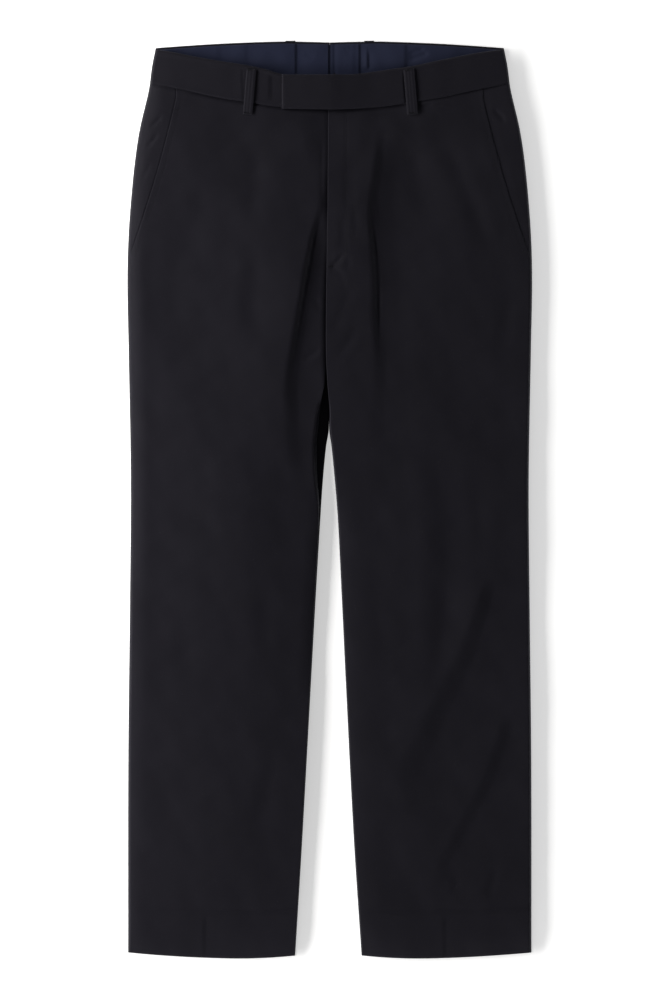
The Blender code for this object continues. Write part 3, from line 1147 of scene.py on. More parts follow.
def nap_group() -> bpy.types.NodeTree:
    """The loose fibres, slubs and slow change of tone of woven cloth.

    Returns:
        The group. Height is the relief of the fibres, Tone the slow change, Lint the specks.
    """
    graph = group_tree(
        "cloth nap",
        "ShaderNodeTree",
        {
            "Place": ("NodeSocketVector", None),
            "Fibre": ("NodeSocketFloat", 2600.0),
            "Slub": ("NodeSocketFloat", 420.0),
            "Patch": ("NodeSocketFloat", 11.0),
        },
        {"Height": "NodeSocketFloat", "Tone": "NodeSocketFloat", "Lint": "NodeSocketFloat"},
    )
    into = graph.tree.nodes["In"].outputs
    noises = {}
    for label, detail in NAP_DETAIL.items():
        noise = graph.add("ShaderNodeTexNoise", label)
        noise.inputs["Detail"].default_value = detail
        graph.join(into["Place"], noise.inputs["Vector"])
        graph.join(into[label], noise.inputs["Scale"])
        noises[label] = noise.outputs["Fac"]
    out = graph.tree.nodes["Out"].inputs
    for label, share, result in (("Fibre", FIBRE_SHARE, "Height"), ("Patch", PATCH_SHARE, "Tone")):
        main_part = graph.math("MULTIPLY", noises[label], share)
        slubs = graph.math("MULTIPLY", noises["Slub"], 1.0 - share)
        graph.join(graph.math("ADD", main_part, slubs), out[result])
    specks = graph.add("ShaderNodeTexVoronoi", "Specks")
    specks.inputs["Scale"].default_value = SPECKS
    graph.join(into["Place"], specks.inputs["Vector"])
    near = graph.math("LESS_THAN", specks.outputs["Distance"], SPECK_SIZE)
    graph.join(near, out["Lint"])
    return graph.tree


# ------------ finishes


def shaded(
    name: str, sockets: dict[str, float | tuple]
) -> tuple[bpy.types.Material, Graph, bpy.types.Node]:
    """Starts a material.

    Args:
        name: name of the material.
        sockets: values of the shader's own sockets by name.

    Returns:
        The material, its graph and its shader.
    """
    material = bpy.data.materials.new(name)
    material.use_nodes = True
    shader = material.node_tree.nodes["Principled BSDF"]
    for label, value in sockets.items():
        shader.inputs[label].default_value = value
    return material, Graph(material.node_tree), shader


@dataclass(frozen=True)
class ClothFinish:
    """A woven finish: a dark and a light tone, mixed by the painted shade of its weave and by its nap's
    random tone, with its weave, its nap and its sheen.
    """

    name: str
    dark: Colour
    light: Colour
    roughness: Pair
    specular: float
    sheen: float
    sheen_roughness: float
    sheen_tint: Colour
    contrast: float = 1.9
    pitch: float = 0.0007
    steepness: float = 1.0
    weave_depth: float = 0.00006
    nap_depth: float = 0.00005
    lint: Colour = (0.05, 0.05, 0.06)
    lint_share: float = 0.35

    def material(self) -> bpy.types.Material:
        """Builds the material."""
        sockets = {
            "Specular IOR Level": self.specular,
            "Sheen Weight": self.sheen,
            "Sheen Roughness": self.sheen_roughness,
            "Sheen Tint": (*self.sheen_tint, 1.0),
        }
        material, graph, shader = shaded(self.name, sockets)
        place = graph.add("ShaderNodeUVMap", uv_map="cloth").outputs["UV"]
        weave = graph.place_group("twill weave", place, Pitch=self.pitch, Steepness=self.steepness)
        nap = graph.place_group("cloth nap", place)
        # Painted shade: the weave's darker gaps and lighter ribs, times the nap's random tone, pick between
        # the dark and the light tone.
        share = graph.math("MULTIPLY", weave["Shade"], nap["Tone"])
        tone = graph.blend(graph.math("MULTIPLY", share, self.contrast), self.dark, self.light)
        linted = graph.blend(graph.math("MULTIPLY", nap["Lint"], self.lint_share), tone, self.lint)
        graph.join(linted, shader.inputs["Base Color"])
        low, high = self.roughness
        rough = graph.math("MULTIPLY", nap["Tone"], high - low)
        graph.join(graph.math("ADD", rough, low), shader.inputs["Roughness"])
        fibres = graph.bump(nap["Height"], self.nap_depth)
        ribs = graph.bump(weave["Height"], self.weave_depth, fibres)
        graph.join(ribs, shader.inputs["Normal"])
        return material


WOOL = ClothFinish(
    name="wool",
    dark=(0.0042, 0.0038, 0.006),
    light=(0.008, 0.0073, 0.0114),
    roughness=(0.58, 0.74),
    specular=0.08,
    sheen=0.085,
    sheen_roughness=0.24,
    sheen_tint=(0.8, 0.84, 1.0),
)
SATIN = ClothFinish(
    name="lining",
    dark=(0.0089, 0.0108, 0.0238),
    light=(0.0156, 0.0184, 0.0368),
    roughness=(0.42, 0.52),
    specular=0.1,
    sheen=0.02,
    sheen_roughness=0.35,
    sheen_tint=(0.75, 0.82, 1.0),
    pitch=0.0005,
    steepness=0.25,
    weave_depth=0.00003,
    nap_depth=0.00003,
)
TAPE = ClothFinish(
    name="zip_tape",
    dark=(0.006, 0.006, 0.008),
    light=(0.012, 0.012, 0.015),
    roughness=(0.6, 0.75),
    specular=0.3,
    sheen=0.08,
    sheen_roughness=0.4,
    sheen_tint=(0.9, 0.92, 1.0),
    pitch=0.0012,
    steepness=2.0,
)


@dataclass(frozen=True)
class ThreadFinish:
    """Twisted sewing thread, a little glossier than the cloth."""

    name: str = "thread"
    colour: Colour = (0.0045, 0.0042, 0.0058)
    worn: Colour = (0.008, 0.0076, 0.0104)
    roughness: float = 0.55
    specular: float = 0.1
    twist: float = 2400.0
    twist_depth: float = 0.00005

    def material(self) -> bpy.types.Material:
        """Builds the material."""
        sockets = {"Roughness": self.roughness, "Specular IOR Level": self.specular}
        material, graph, shader = shaded(self.name, sockets)
        place = graph.add("ShaderNodeTexCoord").outputs["Object"]
        nap = graph.place_group("cloth nap", place, Fibre=self.twist)
        graph.join(graph.blend(nap["Tone"], self.colour, self.worn), shader.inputs["Base Color"])
        graph.join(graph.bump(nap["Height"], self.twist_depth), shader.inputs["Normal"])
        return material


class Finishes:
    """Every material of the trousers, built once."""

    def __init__(self) -> None:
        """Builds the groups, then the materials that hold them, kept by name."""
        twill_group()
        nap_group()
        finishes = (WOOL, SATIN, TAPE, ThreadFinish())
        self.named = {finish.name: finish.material() for finish in finishes}


# ------------ stitches

# Faces round and along one stitch.
STITCH_SEGMENTS = 6
STITCH_RINGS = 5


def stitch_tree() -> bpy.types.NodeTree:
    """Geometry nodes that lay stitches along a line of points.

    Returns:
        The tree, with its pitch, length, thickness and jitter as named inputs.
    """
    graph = group_tree(
        "stitch row",
        "GeometryNodeTree",
        {
            "Line": ("NodeSocketGeometry", None),
            "Pitch": ("NodeSocketFloat", 0.0028),
            "Length": ("NodeSocketFloat", 0.0022),
            "Thickness": ("NodeSocketFloat", 0.0004),
            "Jitter": ("NodeSocketFloat", 0.12),
            "Seed": ("NodeSocketInt", 3),
            "Finish": ("NodeSocketMaterial", None),
        },
        {"Stitches": "NodeSocketGeometry"},
    )
    graph.tree.is_modifier = True
    into = graph.tree.nodes["In"].outputs
    curve = graph.add("GeometryNodeMeshToCurve")
    graph.join(into["Line"], curve.inputs[0])
    points = graph.add("GeometryNodeResampleCurve", mode="LENGTH")
    graph.join(curve.outputs[0], points.inputs["Curve"])
    graph.join(into["Pitch"], points.inputs["Length"])
    tangent = graph.add("GeometryNodeInputTangent")
    turn = graph.add("FunctionNodeAlignEulerToVector", axis="X")
    graph.join(tangent.outputs[0], turn.inputs["Vector"])
    ball = graph.add("GeometryNodeMeshUVSphere")
    ball.inputs["Segments"].default_value = STITCH_SEGMENTS
    ball.inputs["Rings"].default_value = STITCH_RINGS
    ball.inputs["Radius"].default_value = 0.5
    size = graph.add("ShaderNodeCombineXYZ")
    jitter = graph.add("FunctionNodeRandomValue", data_type="FLOAT")
    graph.join(graph.math("SUBTRACT", 1.0, into["Jitter"]), jitter.inputs[2])
    graph.join(graph.math("ADD", 1.0, into["Jitter"]), jitter.inputs[3])
    graph.join(into["Seed"], jitter.inputs["Seed"])
    graph.join(graph.math("MULTIPLY", into["Length"], jitter.outputs[1]), size.inputs[0])
    graph.join(into["Thickness"], size.inputs[1])
    graph.join(into["Thickness"], size.inputs[2])
    laid = graph.add("GeometryNodeInstanceOnPoints")
    graph.join(points.outputs[0], laid.inputs["Points"])
    graph.join(ball.outputs[0], laid.inputs["Instance"])
    graph.join(turn.outputs[0], laid.inputs["Rotation"])
    graph.join(size.outputs[0], laid.inputs["Scale"])
    real = graph.add("GeometryNodeRealizeInstances")
    graph.join(laid.outputs[0], real.inputs[0])
    dressed = graph.add("GeometryNodeSetMaterial")
    graph.join(real.outputs[0], dressed.inputs["Geometry"])
    graph.join(into["Finish"], dressed.inputs["Material"])
    graph.join(dressed.outputs[0], graph.tree.nodes["Out"].inputs[0])
    return graph.tree


@dataclass(frozen=True)
class StitchRow:
    """A kind of stitching: the size of its stitches, its finish and its seed."""

    name: str
    pitch: float = 0.0028
    length: float = 0.0023
    thickness: float = 0.00036
    seed: int = 3
    finish: str = "thread"
    slot: str = "wool"

    def build(self, name: str, lines: list[Array], material: bpy.types.Material) -> bpy.types.Object:
        """Lays the stitches.

        Args:
            name: name of the piece.
            lines: the places that each row passes through.
            material: finish of the stitches.

        Returns:
            All rows as one plain mesh.
        """
        edges = []
        start = 0
        for line in lines:
            edges += [(start + index, start + index + 1) for index in range(len(line) - 1)]
            start += len(line)
        guide_mesh = bpy.data.meshes.new(name + "_line")
        guide_mesh.from_pydata(np.concatenate(lines).tolist(), edges, [])
        guide = link(bpy.data.objects.new(name + "_line", guide_mesh))
        tree = bpy.data.node_groups.get("stitch row") or stitch_tree()
        modifier = guide.modifiers.new("stitches", "NODES")
        modifier.node_group = tree
        values = {
            "Pitch": self.pitch,
            "Length": self.length,
            "Thickness": self.thickness,
            "Seed": self.seed,
            "Finish": material,
        }
        for item in tree.interface.items_tree:
            if item.name in values:
                modifier[item.identifier] = values[item.name]
        graph = bpy.context.evaluated_depsgraph_get()
        mesh = bpy.data.meshes.new_from_object(guide.evaluated_get(graph))
        bpy.data.objects.remove(guide, do_unlink=True)
        mesh.name = name
        mesh.shade_smooth()
        return link(bpy.data.objects.new(name, mesh))

    def sew(self, lines: list[Array], finishes: Finishes, side: Side | None = None) -> None:
        """Lays the stitches and ties them to the frame.

        Args:
            lines: the places that each row passes through.
            finishes: the materials.
            side: the side that the piece is named for, if it has one.
        """
        name = f"{self.name}_{side.label}" if side else self.name
        settle(self.build(name, lines, finishes.named[self.finish]), self.slot)


def on_cloth(
    path: Iterable[Array], height: Callable[[Array, Array], Array], above: float
) -> Array:
    """Lays a line of places on the cloth.

    Args:
        path: x and y of the places.
        height: height of the cloth's face at x and y.
        above: how far the line stands off it.

    Returns:
        The places in space.
    """
    x, y = path
    return np.stack([x, y, height(x, y) + above], 1)


# ------------ pieces on the frame

# A bar tack: its rows, and the pitch and length of its stitches.
TACK_ROWS = tuple(0.0004 * row for row in range(-2, 3))
TACK_PITCH = 0.0009
TACK_LENGTH = 0.0012


def settle(obj: bpy.types.Object, slot: str, *nodes: str) -> None:
    """Ties a finished piece to the frame.

    Args:
        obj: the piece.
        slot: the finish it takes from the record; not used.
        nodes: CAD nodes that it stands for.
    """
    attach(obj, "root")
    if nodes:
        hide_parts(*nodes)
    LOG.info("%s: %d faces", obj.name, len(obj.data.polygons))


@dataclass(frozen=True)
class Sheet:
    """A kind of cloth piece: the node it stands for, its flat size, its wall and its finish."""

    part: str
    flat: Pair
    area: float | None = None
    wall: float = CLOTH
    slot: str = "wool"

    def lay(self, side: Side, points: tuple[Array, ...], finishes: Finishes, *below: str) -> None:
        """Makes the piece of one side and ties it to the frame.

        Args:
            side: the side that it is for.
            points: x, y and z of its upper face, as rows by columns.
            finishes: the materials.
            below: the pieces that it rests on; not used.
        """
        cloth = Cloth(f"{self.part}_cloth_{side.label}", np.stack(points, 2), self.wall)
        piece = cloth.build(finishes.named[self.slot])
        settle(piece, self.slot, f"{self.part}_{side.label}")


# ------------ the legs


@dataclass
class Legs:
    """The two backs and the two fronts, from hem to waist.

    Rows and columns hold their spacing in the middle and at the edges, and the steps between.
    """

    finishes: Finishes
    front_sheet: Sheet = Sheet("front", (0.262, 1.065), 0.228)
    back_sheet: Sheet = Sheet("back", (0.29, 1.08), 0.235)
    width: float = 0.2
    front_rows: Spacing = (0.0027, 0.0006, 7)
    front_columns: Spacing = (0.0024, 0.00045, 9)
    back_rows: Spacing = (0.0042, 0.0008, 6)
    back_columns: Spacing = (0.005, 0.0008, 6)
    front_allowance: float = 0.0024
    back_allowance: float = 0.0015
    front_bend_y: float = 0.249
    back_bend_y: float = 0.356
    back_rise: float = 0.0011
    back_rise_span: Pair = (0.44, 0.482)
    tuck: float = 0.003
    tuck_past: float = 0.0004
    tuck_drop: float = 0.0014
    under_fly: float = 0.004
    under_fly_span: Pair = (0.11, 0.14)
    pocket_ease: float = 0.03
    groove: float = 0.0001
    groove_reach: float = 0.0022
    hem_row: StitchRow = StitchRow("hem_stitches", 0.008, 0.001, 0.0003, 21)
    hem_row_points: int = 60
    hem_row_sink: float = 0.00012
    hem_row_down: float = 0.001
    hem_row_inseam_y: float = -0.48
    hem_row_inset: float = 0.006
    hem_row_end: float = 0.23
    hem_half: float = 0.235

    def front_lift(self, side: Side, x: Array, level: Array) -> Array:
        """Bends a front's rows at the hem and at the waist.

        Args:
            side: the side.
            x: distances across.
            level: levels of the rows at the fork.

        Returns:
            How far each point lies above its row.
        """
        share = CUT.share_out(side, x, level, CUT.front_inner(side, level))
        dip = CUT.waist_seam.at(np.abs(x)) - CUT.waist_y
        return CUT.hem_rise(level, share) + dip * smooth(self.front_bend_y, CUT.waist_y, level)

    def tucked(self, x: Array, y: Array) -> Array:
        """How far the upper edge of a front or a facing drops under the band."""
        seam = CUT.waist_seam.at(np.abs(x))
        return self.tuck_drop * smooth(seam - self.tuck, seam + self.tuck_past, y)

    def front_face(self, side: Side, x: Array, y: Array) -> Array:
        """Height of a front's upper face, with its laps, its pocket lip and its tuck.

        Args:
            side: the side.
            x: distances across.
            y: levels.

        Returns:
            The height at each point.
        """
        height = DRAPE.front(side, x, y)
        mouth = CUT.mouth(y) - np.abs(x)
        lip = -self.groove * bell(mouth - CUT.pocket_stitch, self.groove_reach)
        before = CUT.front_inner(Side.LEFT, y) - x
        if side is Side.LEFT:
            lip = lip + DRAPE.lip * smooth(DRAPE.lip_reach, 0.0, mouth)
            lip = lip + DRAPE.rounded(mouth, *DRAPE.lip_edge)
            raised = DRAPE.fly_lap * smooth(DRAPE.fly_lap_reach, 0.0, -before)
            height = height + smooth(*DRAPE.fly_lap_span, y) * raised + Fly.groove.relief(x, y)
        else:
            slope = 1.0 - np.clip(before / DRAPE.fly_dip_reach.at(y), 0.0, 1.0)
            dip = DRAPE.fly_dip.at(y) * slope * slope
            height = height - smooth(*DRAPE.fly_dip_span, y) * dip
        eased = smooth(CUT.pocket_end_y, CUT.pocket_end_y + self.pocket_ease, y)
        return height + eased * lip - self.tucked(x, y)

    def front(self, side: Side) -> None:
        """Makes one front.

        Args:
            side: the side.
        """
        sign = side.value

        def edges(y: Array) -> tuple[Array, Array]:
            """The edge along the inseam and the fly, and the one along the side."""
            inner = CUT.front_inner(side, y) + sign * (CLOTH / 2.0 + GAP)
            if side is Side.RIGHT:
                inner = inner + self.under_fly * smooth(*self.under_fly_span, y)
            return side.ordered(inner, sign * (CUT.mouth(y) - CLOTH / 2.0))

        top = CUT.waist_y + self.front_allowance
        levels = spaced(CUT.hem_y + CLOTH / 2.0, top, *self.front_rows)
        shares = shares_of(self.width, *self.front_columns)
        x, y = panel(edges, levels, shares, partial(self.front_lift, side))
        points = (x, y, self.front_face(side, x, y))
        self.front_sheet.lay(side, points, self.finishes, f"back_cloth_{side.label}")

    def back(self, side: Side) -> None:
        """Makes one back, flat on the surface.

        Args:
            side: the side.
        """
        sign = side.value
        top = float(CUT.back_rim.at(np.asarray(0.0))) - CUT.band_height

        def edges(y: Array) -> tuple[Array, Array]:
            """The edge along the inseam and the seat, and the one along the side."""
            inner = CUT.back_inner(side, y) + sign * CLOTH / 2.0
            return side.ordered(inner, sign * (CUT.outer(y) - CLOTH / 2.0))

        def lift(x: Array, level: Array) -> Array:
            """Bend of the rows at the hem and at the rim."""
            share = CUT.share_out(side, x, level, CUT.back_inner(side, level))
            dip = CUT.back_rim.at(np.abs(x)) - CUT.back_rim.at(np.zeros_like(x))
            return CUT.hem_rise(level, share) + dip * smooth(self.back_bend_y, top, level)

        levels = spaced(CUT.hem_y + CLOTH / 2.0, top + self.back_allowance, *self.back_rows)
        x, y = panel(edges, levels, shares_of(self.width, *self.back_columns), lift)
        z = CLOTH + self.back_rise * smooth(*self.back_rise_span, y)
        self.back_sheet.lay(side, (x, y, z), self.finishes, "floor")

    def hem_stitches(self, side: Side) -> None:
        """Blind stitches that hold up the turned hem.

        Args:
            side: the side.
        """
        sign = side.value
        inseam = float(CUT.front_inner(side, np.asarray(self.hem_row_inseam_y)))
        inner = inseam + sign * self.hem_row_inset
        x = np.linspace(inner, sign * self.hem_row_end, self.hem_row_points)
        share = np.clip((x - inner) / (sign * self.hem_half - inner), 0.0, 1.0)
        level = CUT.hem_y + CUT.hem_depth - self.hem_row_down
        y = level + CUT.hem_rise(np.full_like(x, level), share)
        line = on_cloth((x, y), partial(self.front_face, side), -self.hem_row_sink)
        self.hem_row.sew([line], self.finishes, side)

    def build(self) -> None:
        """Makes each side's back, then the front on it."""
        for side in Side:
            self.back(side)
            self.front(side)
            self.hem_stitches(side)


# ------------ fly


@dataclass
class Fly:
    """The zip under the lap, and the curved row of stitches that holds the lap."""

    finishes: Finishes
    curve: Path = (
        (0.0024, 0.2728),
        (0.009, 0.2768),
        (0.0149, 0.2815),
        (0.018, 0.2875),
        (0.0193, 0.296),
        (0.0193, 0.3512),
        (0.0192, 0.4),
        (0.0191, 0.454),
    )
    groove: Crease = Crease(curve, 0.00016, 0.003, left=0.00005, right=0.00005, fade=(0.02, 0.01))
    curve_steps: int = 12
    row: StitchRow = StitchRow("fly_stitches", seed=11)
    row_above: float = 0.00002
    tack: StitchRow = StitchRow("fly_bar_tack", TACK_PITCH, TACK_LENGTH, 0.00035, 12)
    tack_ends: Path = ((-0.0026, 0.2732), (0.0024, 0.2728))
    tack_stitches: int = 6
    tack_above: float = 0.0001
    tape_span: Pair = (0.2625, 0.4515)
    tape_inset: float = 0.0022
    tape_width: float = 0.0196
    tape_flat: Pair = (0.0205, 0.191)
    tape_rows: int = 48
    tape_columns: int = 15
    tape_gap: float = 0.0003
    coil_ridge: float = 0.00025
    coil_share: float = 0.42
    coil_reach: float = 0.22
    coil_column: int = 6
    coil_below: float = 0.0004
    coil: StitchRow = StitchRow("zip_coil", 0.0013, 0.0009, 0.002, 4, "zip_tape", "zip_tape")

    def stitches(self, legs: Legs) -> None:
        """A row along the curve, and the bar at its foot.

        Args:
            legs: the fronts that they are sewn to.
        """
        face = partial(legs.front_face, Side.LEFT)
        row = on_cloth(smoothed(self.curve, self.curve_steps).T, face, self.row_above)
        self.row.sew([row], self.finishes)
        x, y = np.linspace(*self.tack_ends, self.tack_stitches).T
        bars = [on_cloth((x, y + shift), face, self.tack_above) for shift in TACK_ROWS]
        self.tack.sew(bars, self.finishes)

    def zip(self) -> None:
        """The tape, with its closed coil of teeth."""
        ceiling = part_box("fly_zip")[1][2]
        levels = np.linspace(*self.tape_span, self.tape_rows)
        shares = np.linspace(0.0, 1.0, self.tape_columns)
        y, share = np.meshgrid(levels, shares, indexing="ij")
        x = CUT.front_inner(Side.LEFT, y) + self.tape_inset + share * self.tape_width
        z = DRAPE.underside(Side.LEFT, x, y) - self.tape_gap
        z = z + self.coil_ridge * bell(share - self.coil_share, self.coil_reach)
        grid = np.stack([x, y, np.minimum(z, ceiling)], 2)
        tape = Cloth("zip_tape_cloth", grid, TAPE_WALL).build(self.finishes.named["zip_tape"])
        settle(tape, "zip_tape", "fly_zip")
        line = grid[:, self.coil_column] - [0.0, 0.0, TAPE_WALL + self.coil_below]
        self.coil.sew([line], self.finishes)


# ------------ pockets


@dataclass
class SidePockets:
    """The facings under the slanted mouths, and the stitches beside the mouths."""

    finishes: Finishes
    sheet: Sheet = Sheet("pocket_facing", (0.066, 0.212), 0.0068)
    width: float = 0.045
    rows: Spacing = (0.0024, 0.0006, 6)
    columns: Spacing = (0.0014, 0.0005, 7)
    start: float = 0.001
    under_lip: float = 0.006
    under_lip_span: Pair = (-0.002, 0.012)
    narrowest: float = 0.0006
    opening: float = 0.02
    left_sink: float = 0.0003
    left_sink_span: Pair = (0.01, 0.001)
    right_dip: float = 0.0006
    right_dip_span: Pair = (0.0016, -0.001)
    left_creases: tuple[Crease, ...] = (
        Crease(((0.19, 0.457), (0.198, 0.45), (0.206, 0.442)), 0.0007, 0.005),
    )
    right_creases: tuple[Crease, ...] = (
        Crease(((-0.211, 0.436), (-0.204, 0.441), (-0.195, 0.45)), 0.0007, 0.004),
        Crease(((-0.215, 0.412), (-0.208, 0.419), (-0.2, 0.43)), 0.0007, 0.004),
        Crease(((-0.221, 0.374), (-0.215, 0.383), (-0.208, 0.395)), 0.0004, 0.005),
    )
    row: StitchRow = StitchRow("pocket_stitches", seed=31)
    row_start: float = 0.01
    row_end_y: float = 0.466
    row_points: int = 60
    row_above: float = 0.00004
    tack: StitchRow = StitchRow("pocket_bar_tacks", TACK_PITCH, TACK_LENGTH, 0.00026, 32)
    tack_start: float = 0.011
    tack_end_y: float = 0.456
    tack_reach: Pair = (0.0068, 0.0006)
    tack_stitches: int = 7
    tack_sink: float = 0.00004

    def facing(self, side: Side, legs: Legs) -> None:
        """Makes one facing, which runs on under the front's lip.

        Args:
            side: the side.
            legs: the fronts.
        """
        sign = side.value

        def edges(y: Array) -> tuple[Array, Array]:
            """The edge under the lip, and the one along the side seam."""
            near, far = self.under_lip_span
            tucked = self.under_lip * smooth(CUT.pocket_end_y + near, CUT.pocket_end_y + far, y)
            outer = CUT.outer(y) - CLOTH / 2.0
            inner = np.minimum(CUT.mouth(y) - tucked, outer - self.narrowest)
            return side.ordered(sign * inner, sign * outer)

        top = CUT.waist_y + legs.front_allowance
        levels = spaced(CUT.pocket_end_y + self.start, top, *self.rows)
        shares = shares_of(self.width, *self.columns)
        x, y = panel(edges, levels, shares, partial(legs.front_lift, side))
        past = np.abs(x) - CUT.mouth(y)
        if side is Side.LEFT:
            sunk = self.left_sink * smooth(*self.left_sink_span, past)
            creases = self.left_creases
        else:
            sunk = self.right_dip * smooth(*self.right_dip_span, past)
            creases = self.right_creases
        opened = smooth(CUT.pocket_end_y, CUT.pocket_end_y + self.opening, y)
        z = DRAPE.front(side, x, y) - sunk * opened - legs.tucked(x, y) + reliefs(creases, x, y)
        self.sheet.lay(side, (x, y, z), self.finishes, f"back_cloth_{side.label}")

    def stitches(self, side: Side, legs: Legs) -> None:
        """A row beside the mouth, and a bar tack at each end of it.

        Args:
            side: the side.
            legs: the fronts.
        """
        sign = side.value
        face = partial(legs.front_face, side)
        y = np.linspace(CUT.pocket_end_y + self.row_start, self.row_end_y, self.row_points)
        x = sign * (CUT.mouth(y) - CUT.pocket_stitch)
        self.row.sew([on_cloth((x, y), face, self.row_above)], self.finishes, side)
        bars = []
        for level in (CUT.pocket_end_y + self.tack_start, self.tack_end_y):
            near, far = (float(CUT.mouth(np.asarray(level))) - reach for reach in self.tack_reach)
            x = sign * np.linspace(near, far, self.tack_stitches)
            for shift in TACK_ROWS:
                bars.append(on_cloth((x, np.full_like(x, level + shift)), face, -self.tack_sink))
        self.tack.sew(bars, self.finishes, side)

    def build(self, legs: Legs) -> None:
        """Makes both sides."""
        for side in Side:
            self.facing(side, legs)
            self.stitches(side, legs)


# ------------ waistband


@dataclass(frozen=True)
class Pleat:
    """A sharp drop across the lining: its place across, its depth and half its width."""

    place: float
    depth: float
    width: float
    ease: float = 0.024

    def relief(self, x: Array) -> Array:
        """Height that the pleat takes off at each place across, easing out beyond it."""
        past = x - self.place
        return -self.depth * smooth(-self.width, self.width, past) * bell(np.maximum(past, 0.0), self.ease)


@dataclass
class Waistband:
    """The band all round, its squared tab, and the lining strip inside the back.

    A pair named edge holds how far a rounded edge reaches in, and how far it drops. A roll along
    an edge holds its height, its place and its reach.
    """

    finishes: Finishes
    left_sheet: Sheet = Sheet("waistband_front", (0.27, 0.045), 0.0116, BAND_WALL)
    right_sheet: Sheet = Sheet("waistband_front", (0.23, 0.045), 0.0098, BAND_WALL)
    back_sheet: Sheet = Sheet("waistband_back", (0.212, 0.043), 0.0089, BAND_WALL)
    lining_sheet: Sheet = Sheet("waistband_lining", (0.21, 0.048), 0.0098, LINING_WALL, "lining")
    rows: Spacing = (0.0022, 0.0004, 6)
    column: float = 0.0012
    back_column: float = 0.0032
    end_column: float = 0.0004
    end_steps: int = 7
    above_loft: float = 0.0018
    ripple: Ripple = Ripple(0.00012, 0.03, 0.09, 17)
    tab_end: float = -0.0562
    tab_slope: float = 0.45
    tab_lift: float = 0.0021
    tab_span: Pair = (0.066, 0.006)
    tab_edge: Pair = (0.0032, 0.001)
    tab_droop: float = 0.0004
    tab_droop_reach: float = 0.03
    right_end: float = 0.016
    right_lower: float = 0.001
    right_lower_span: Pair = (-0.03, -0.01)
    lower_edge: Pair = (0.0016, 0.0004)
    upper_edge: Pair = (0.0026, 0.0007)
    lower_roll: Triple = (0.00025, 0.002, 0.0026)
    upper_roll: Triple = (0.00045, 0.0026, 0.0032)
    back_level: float = 0.003
    back_edge: Pair = (0.0012, 0.0004)
    back_roll: Triple = (0.0005, 0.0012, 0.0026)
    lining_height: float = 0.046
    lining_inset: float = 0.0032
    lining_side: float = 0.0055
    lining_lap: Pair = (-0.0044, -0.002)
    lining_level: float = 0.0056
    lining_fall: float = 0.0016
    lining_fall_span: Pair = (0.02, 0.036)
    lining_lap_drop: float = 0.0011
    lining_lap_span: Pair = (0.012, -0.0012)
    lining_edge: Pair = (0.0014, 0.0003)
    lining_ripple: Ripple = Ripple(0.00018, 0.018, 0.06, 23, 1.0)
    lining_pleats: tuple[Pleat, ...] = (
        Pleat(-0.0398, 0.001, 0.0011),
        Pleat(0.0042, 0.00065, 0.0011),
        Pleat(0.0285, 0.0003, 0.0025),
        Pleat(0.0348, 0.00105, 0.0011),
        Pleat(0.089, 0.0008, 0.003),
        Pleat(-0.098, 0.0003, 0.003),
        Pleat(-0.13, 0.0003, 0.0035),
    )
    lining_creases: tuple[Crease, ...] = (
        Crease(((0.117, 0.5235), (0.105, 0.5195), (0.09, 0.515)), 0.0011, 0.004),
        Crease(((0.112, 0.529), (0.101, 0.525), (0.09, 0.52)), 0.0008, 0.0036),
        Crease(((0.017, 0.53), (0.0205, 0.525), (0.025, 0.5215)), 0.0003, 0.003),
        Crease(((0.0225, 0.533), (0.024, 0.528), (0.029, 0.524)), 0.0003, 0.003),
        step(
            ((0.0435, 0.531), (0.0443, 0.523), (0.0447, 0.504)),
            0.0012, 0.0013, fade=(0.5, 0.05), rise=(0.012, 0.01),
        ),
        Crease(((-0.03, 0.5215), (-0.024, 0.5195), (-0.017, 0.5185)), 0.0004, 0.004),
    )
    puckers: tuple[Crease, ...] = (
        step(
            ((-0.07, 0.498), (-0.0696, 0.485), (-0.0702, 0.464)),
            0.0007, 0.0034, fade=(0.1, 0.3), rise=(0.018, 0.03),
        ),
        # Where the cloth sinks in beside the loops.
        step(
            ((0.0856, 0.505), (0.0874, 0.48), (0.0893, 0.46)),
            0.0013, 0.0014, fade=(0.3, 0.1), rise=(0.01, 0.02), split=0.15,
        ),
        step(
            ((-0.1035, 0.505), (-0.1022, 0.48), (-0.101, 0.46)),
            0.0003, 0.001, fade=(0.1, 0.1), rise=(0.02, 0.012), split=1.0,
        ),
        step(
            ((0.008, 0.51), (0.008, 0.48), (0.008, 0.45)),
            0.0007, 0.008, fade=(0.05, 0.05), rise=(0.08, 0.06), tail=(0.4, 6.0),
        ),
    )

    def face(self, x: Array, y: Array) -> Array:
        """Height of the band's upper face in front, without its long edges.

        Args:
            x: distances across.
            y: levels.

        Returns:
            The height at each point.
        """
        inwards = CUT.outer(y) - np.abs(x)
        left = DRAPE.rolled(inwards, DRAPE.left_outer, DRAPE.edge_roll)
        right = DRAPE.rolled(inwards, DRAPE.right_band, DRAPE.edge_roll)
        rise = np.where(x > 0.0, left, right)
        height = mix(DRAPE.band_seat, DRAPE.front_loft, rise) + self.above_loft
        height = height + reliefs((*self.puckers, self.ripple), x, y)
        return height + DRAPE.rounded(inwards, *DRAPE.seam_edge)

    def tab_rise(self, x: Array) -> Array:
        """How far the left half stands above the right half near the tab."""
        return self.tab_lift * smooth(*self.tab_span, x)

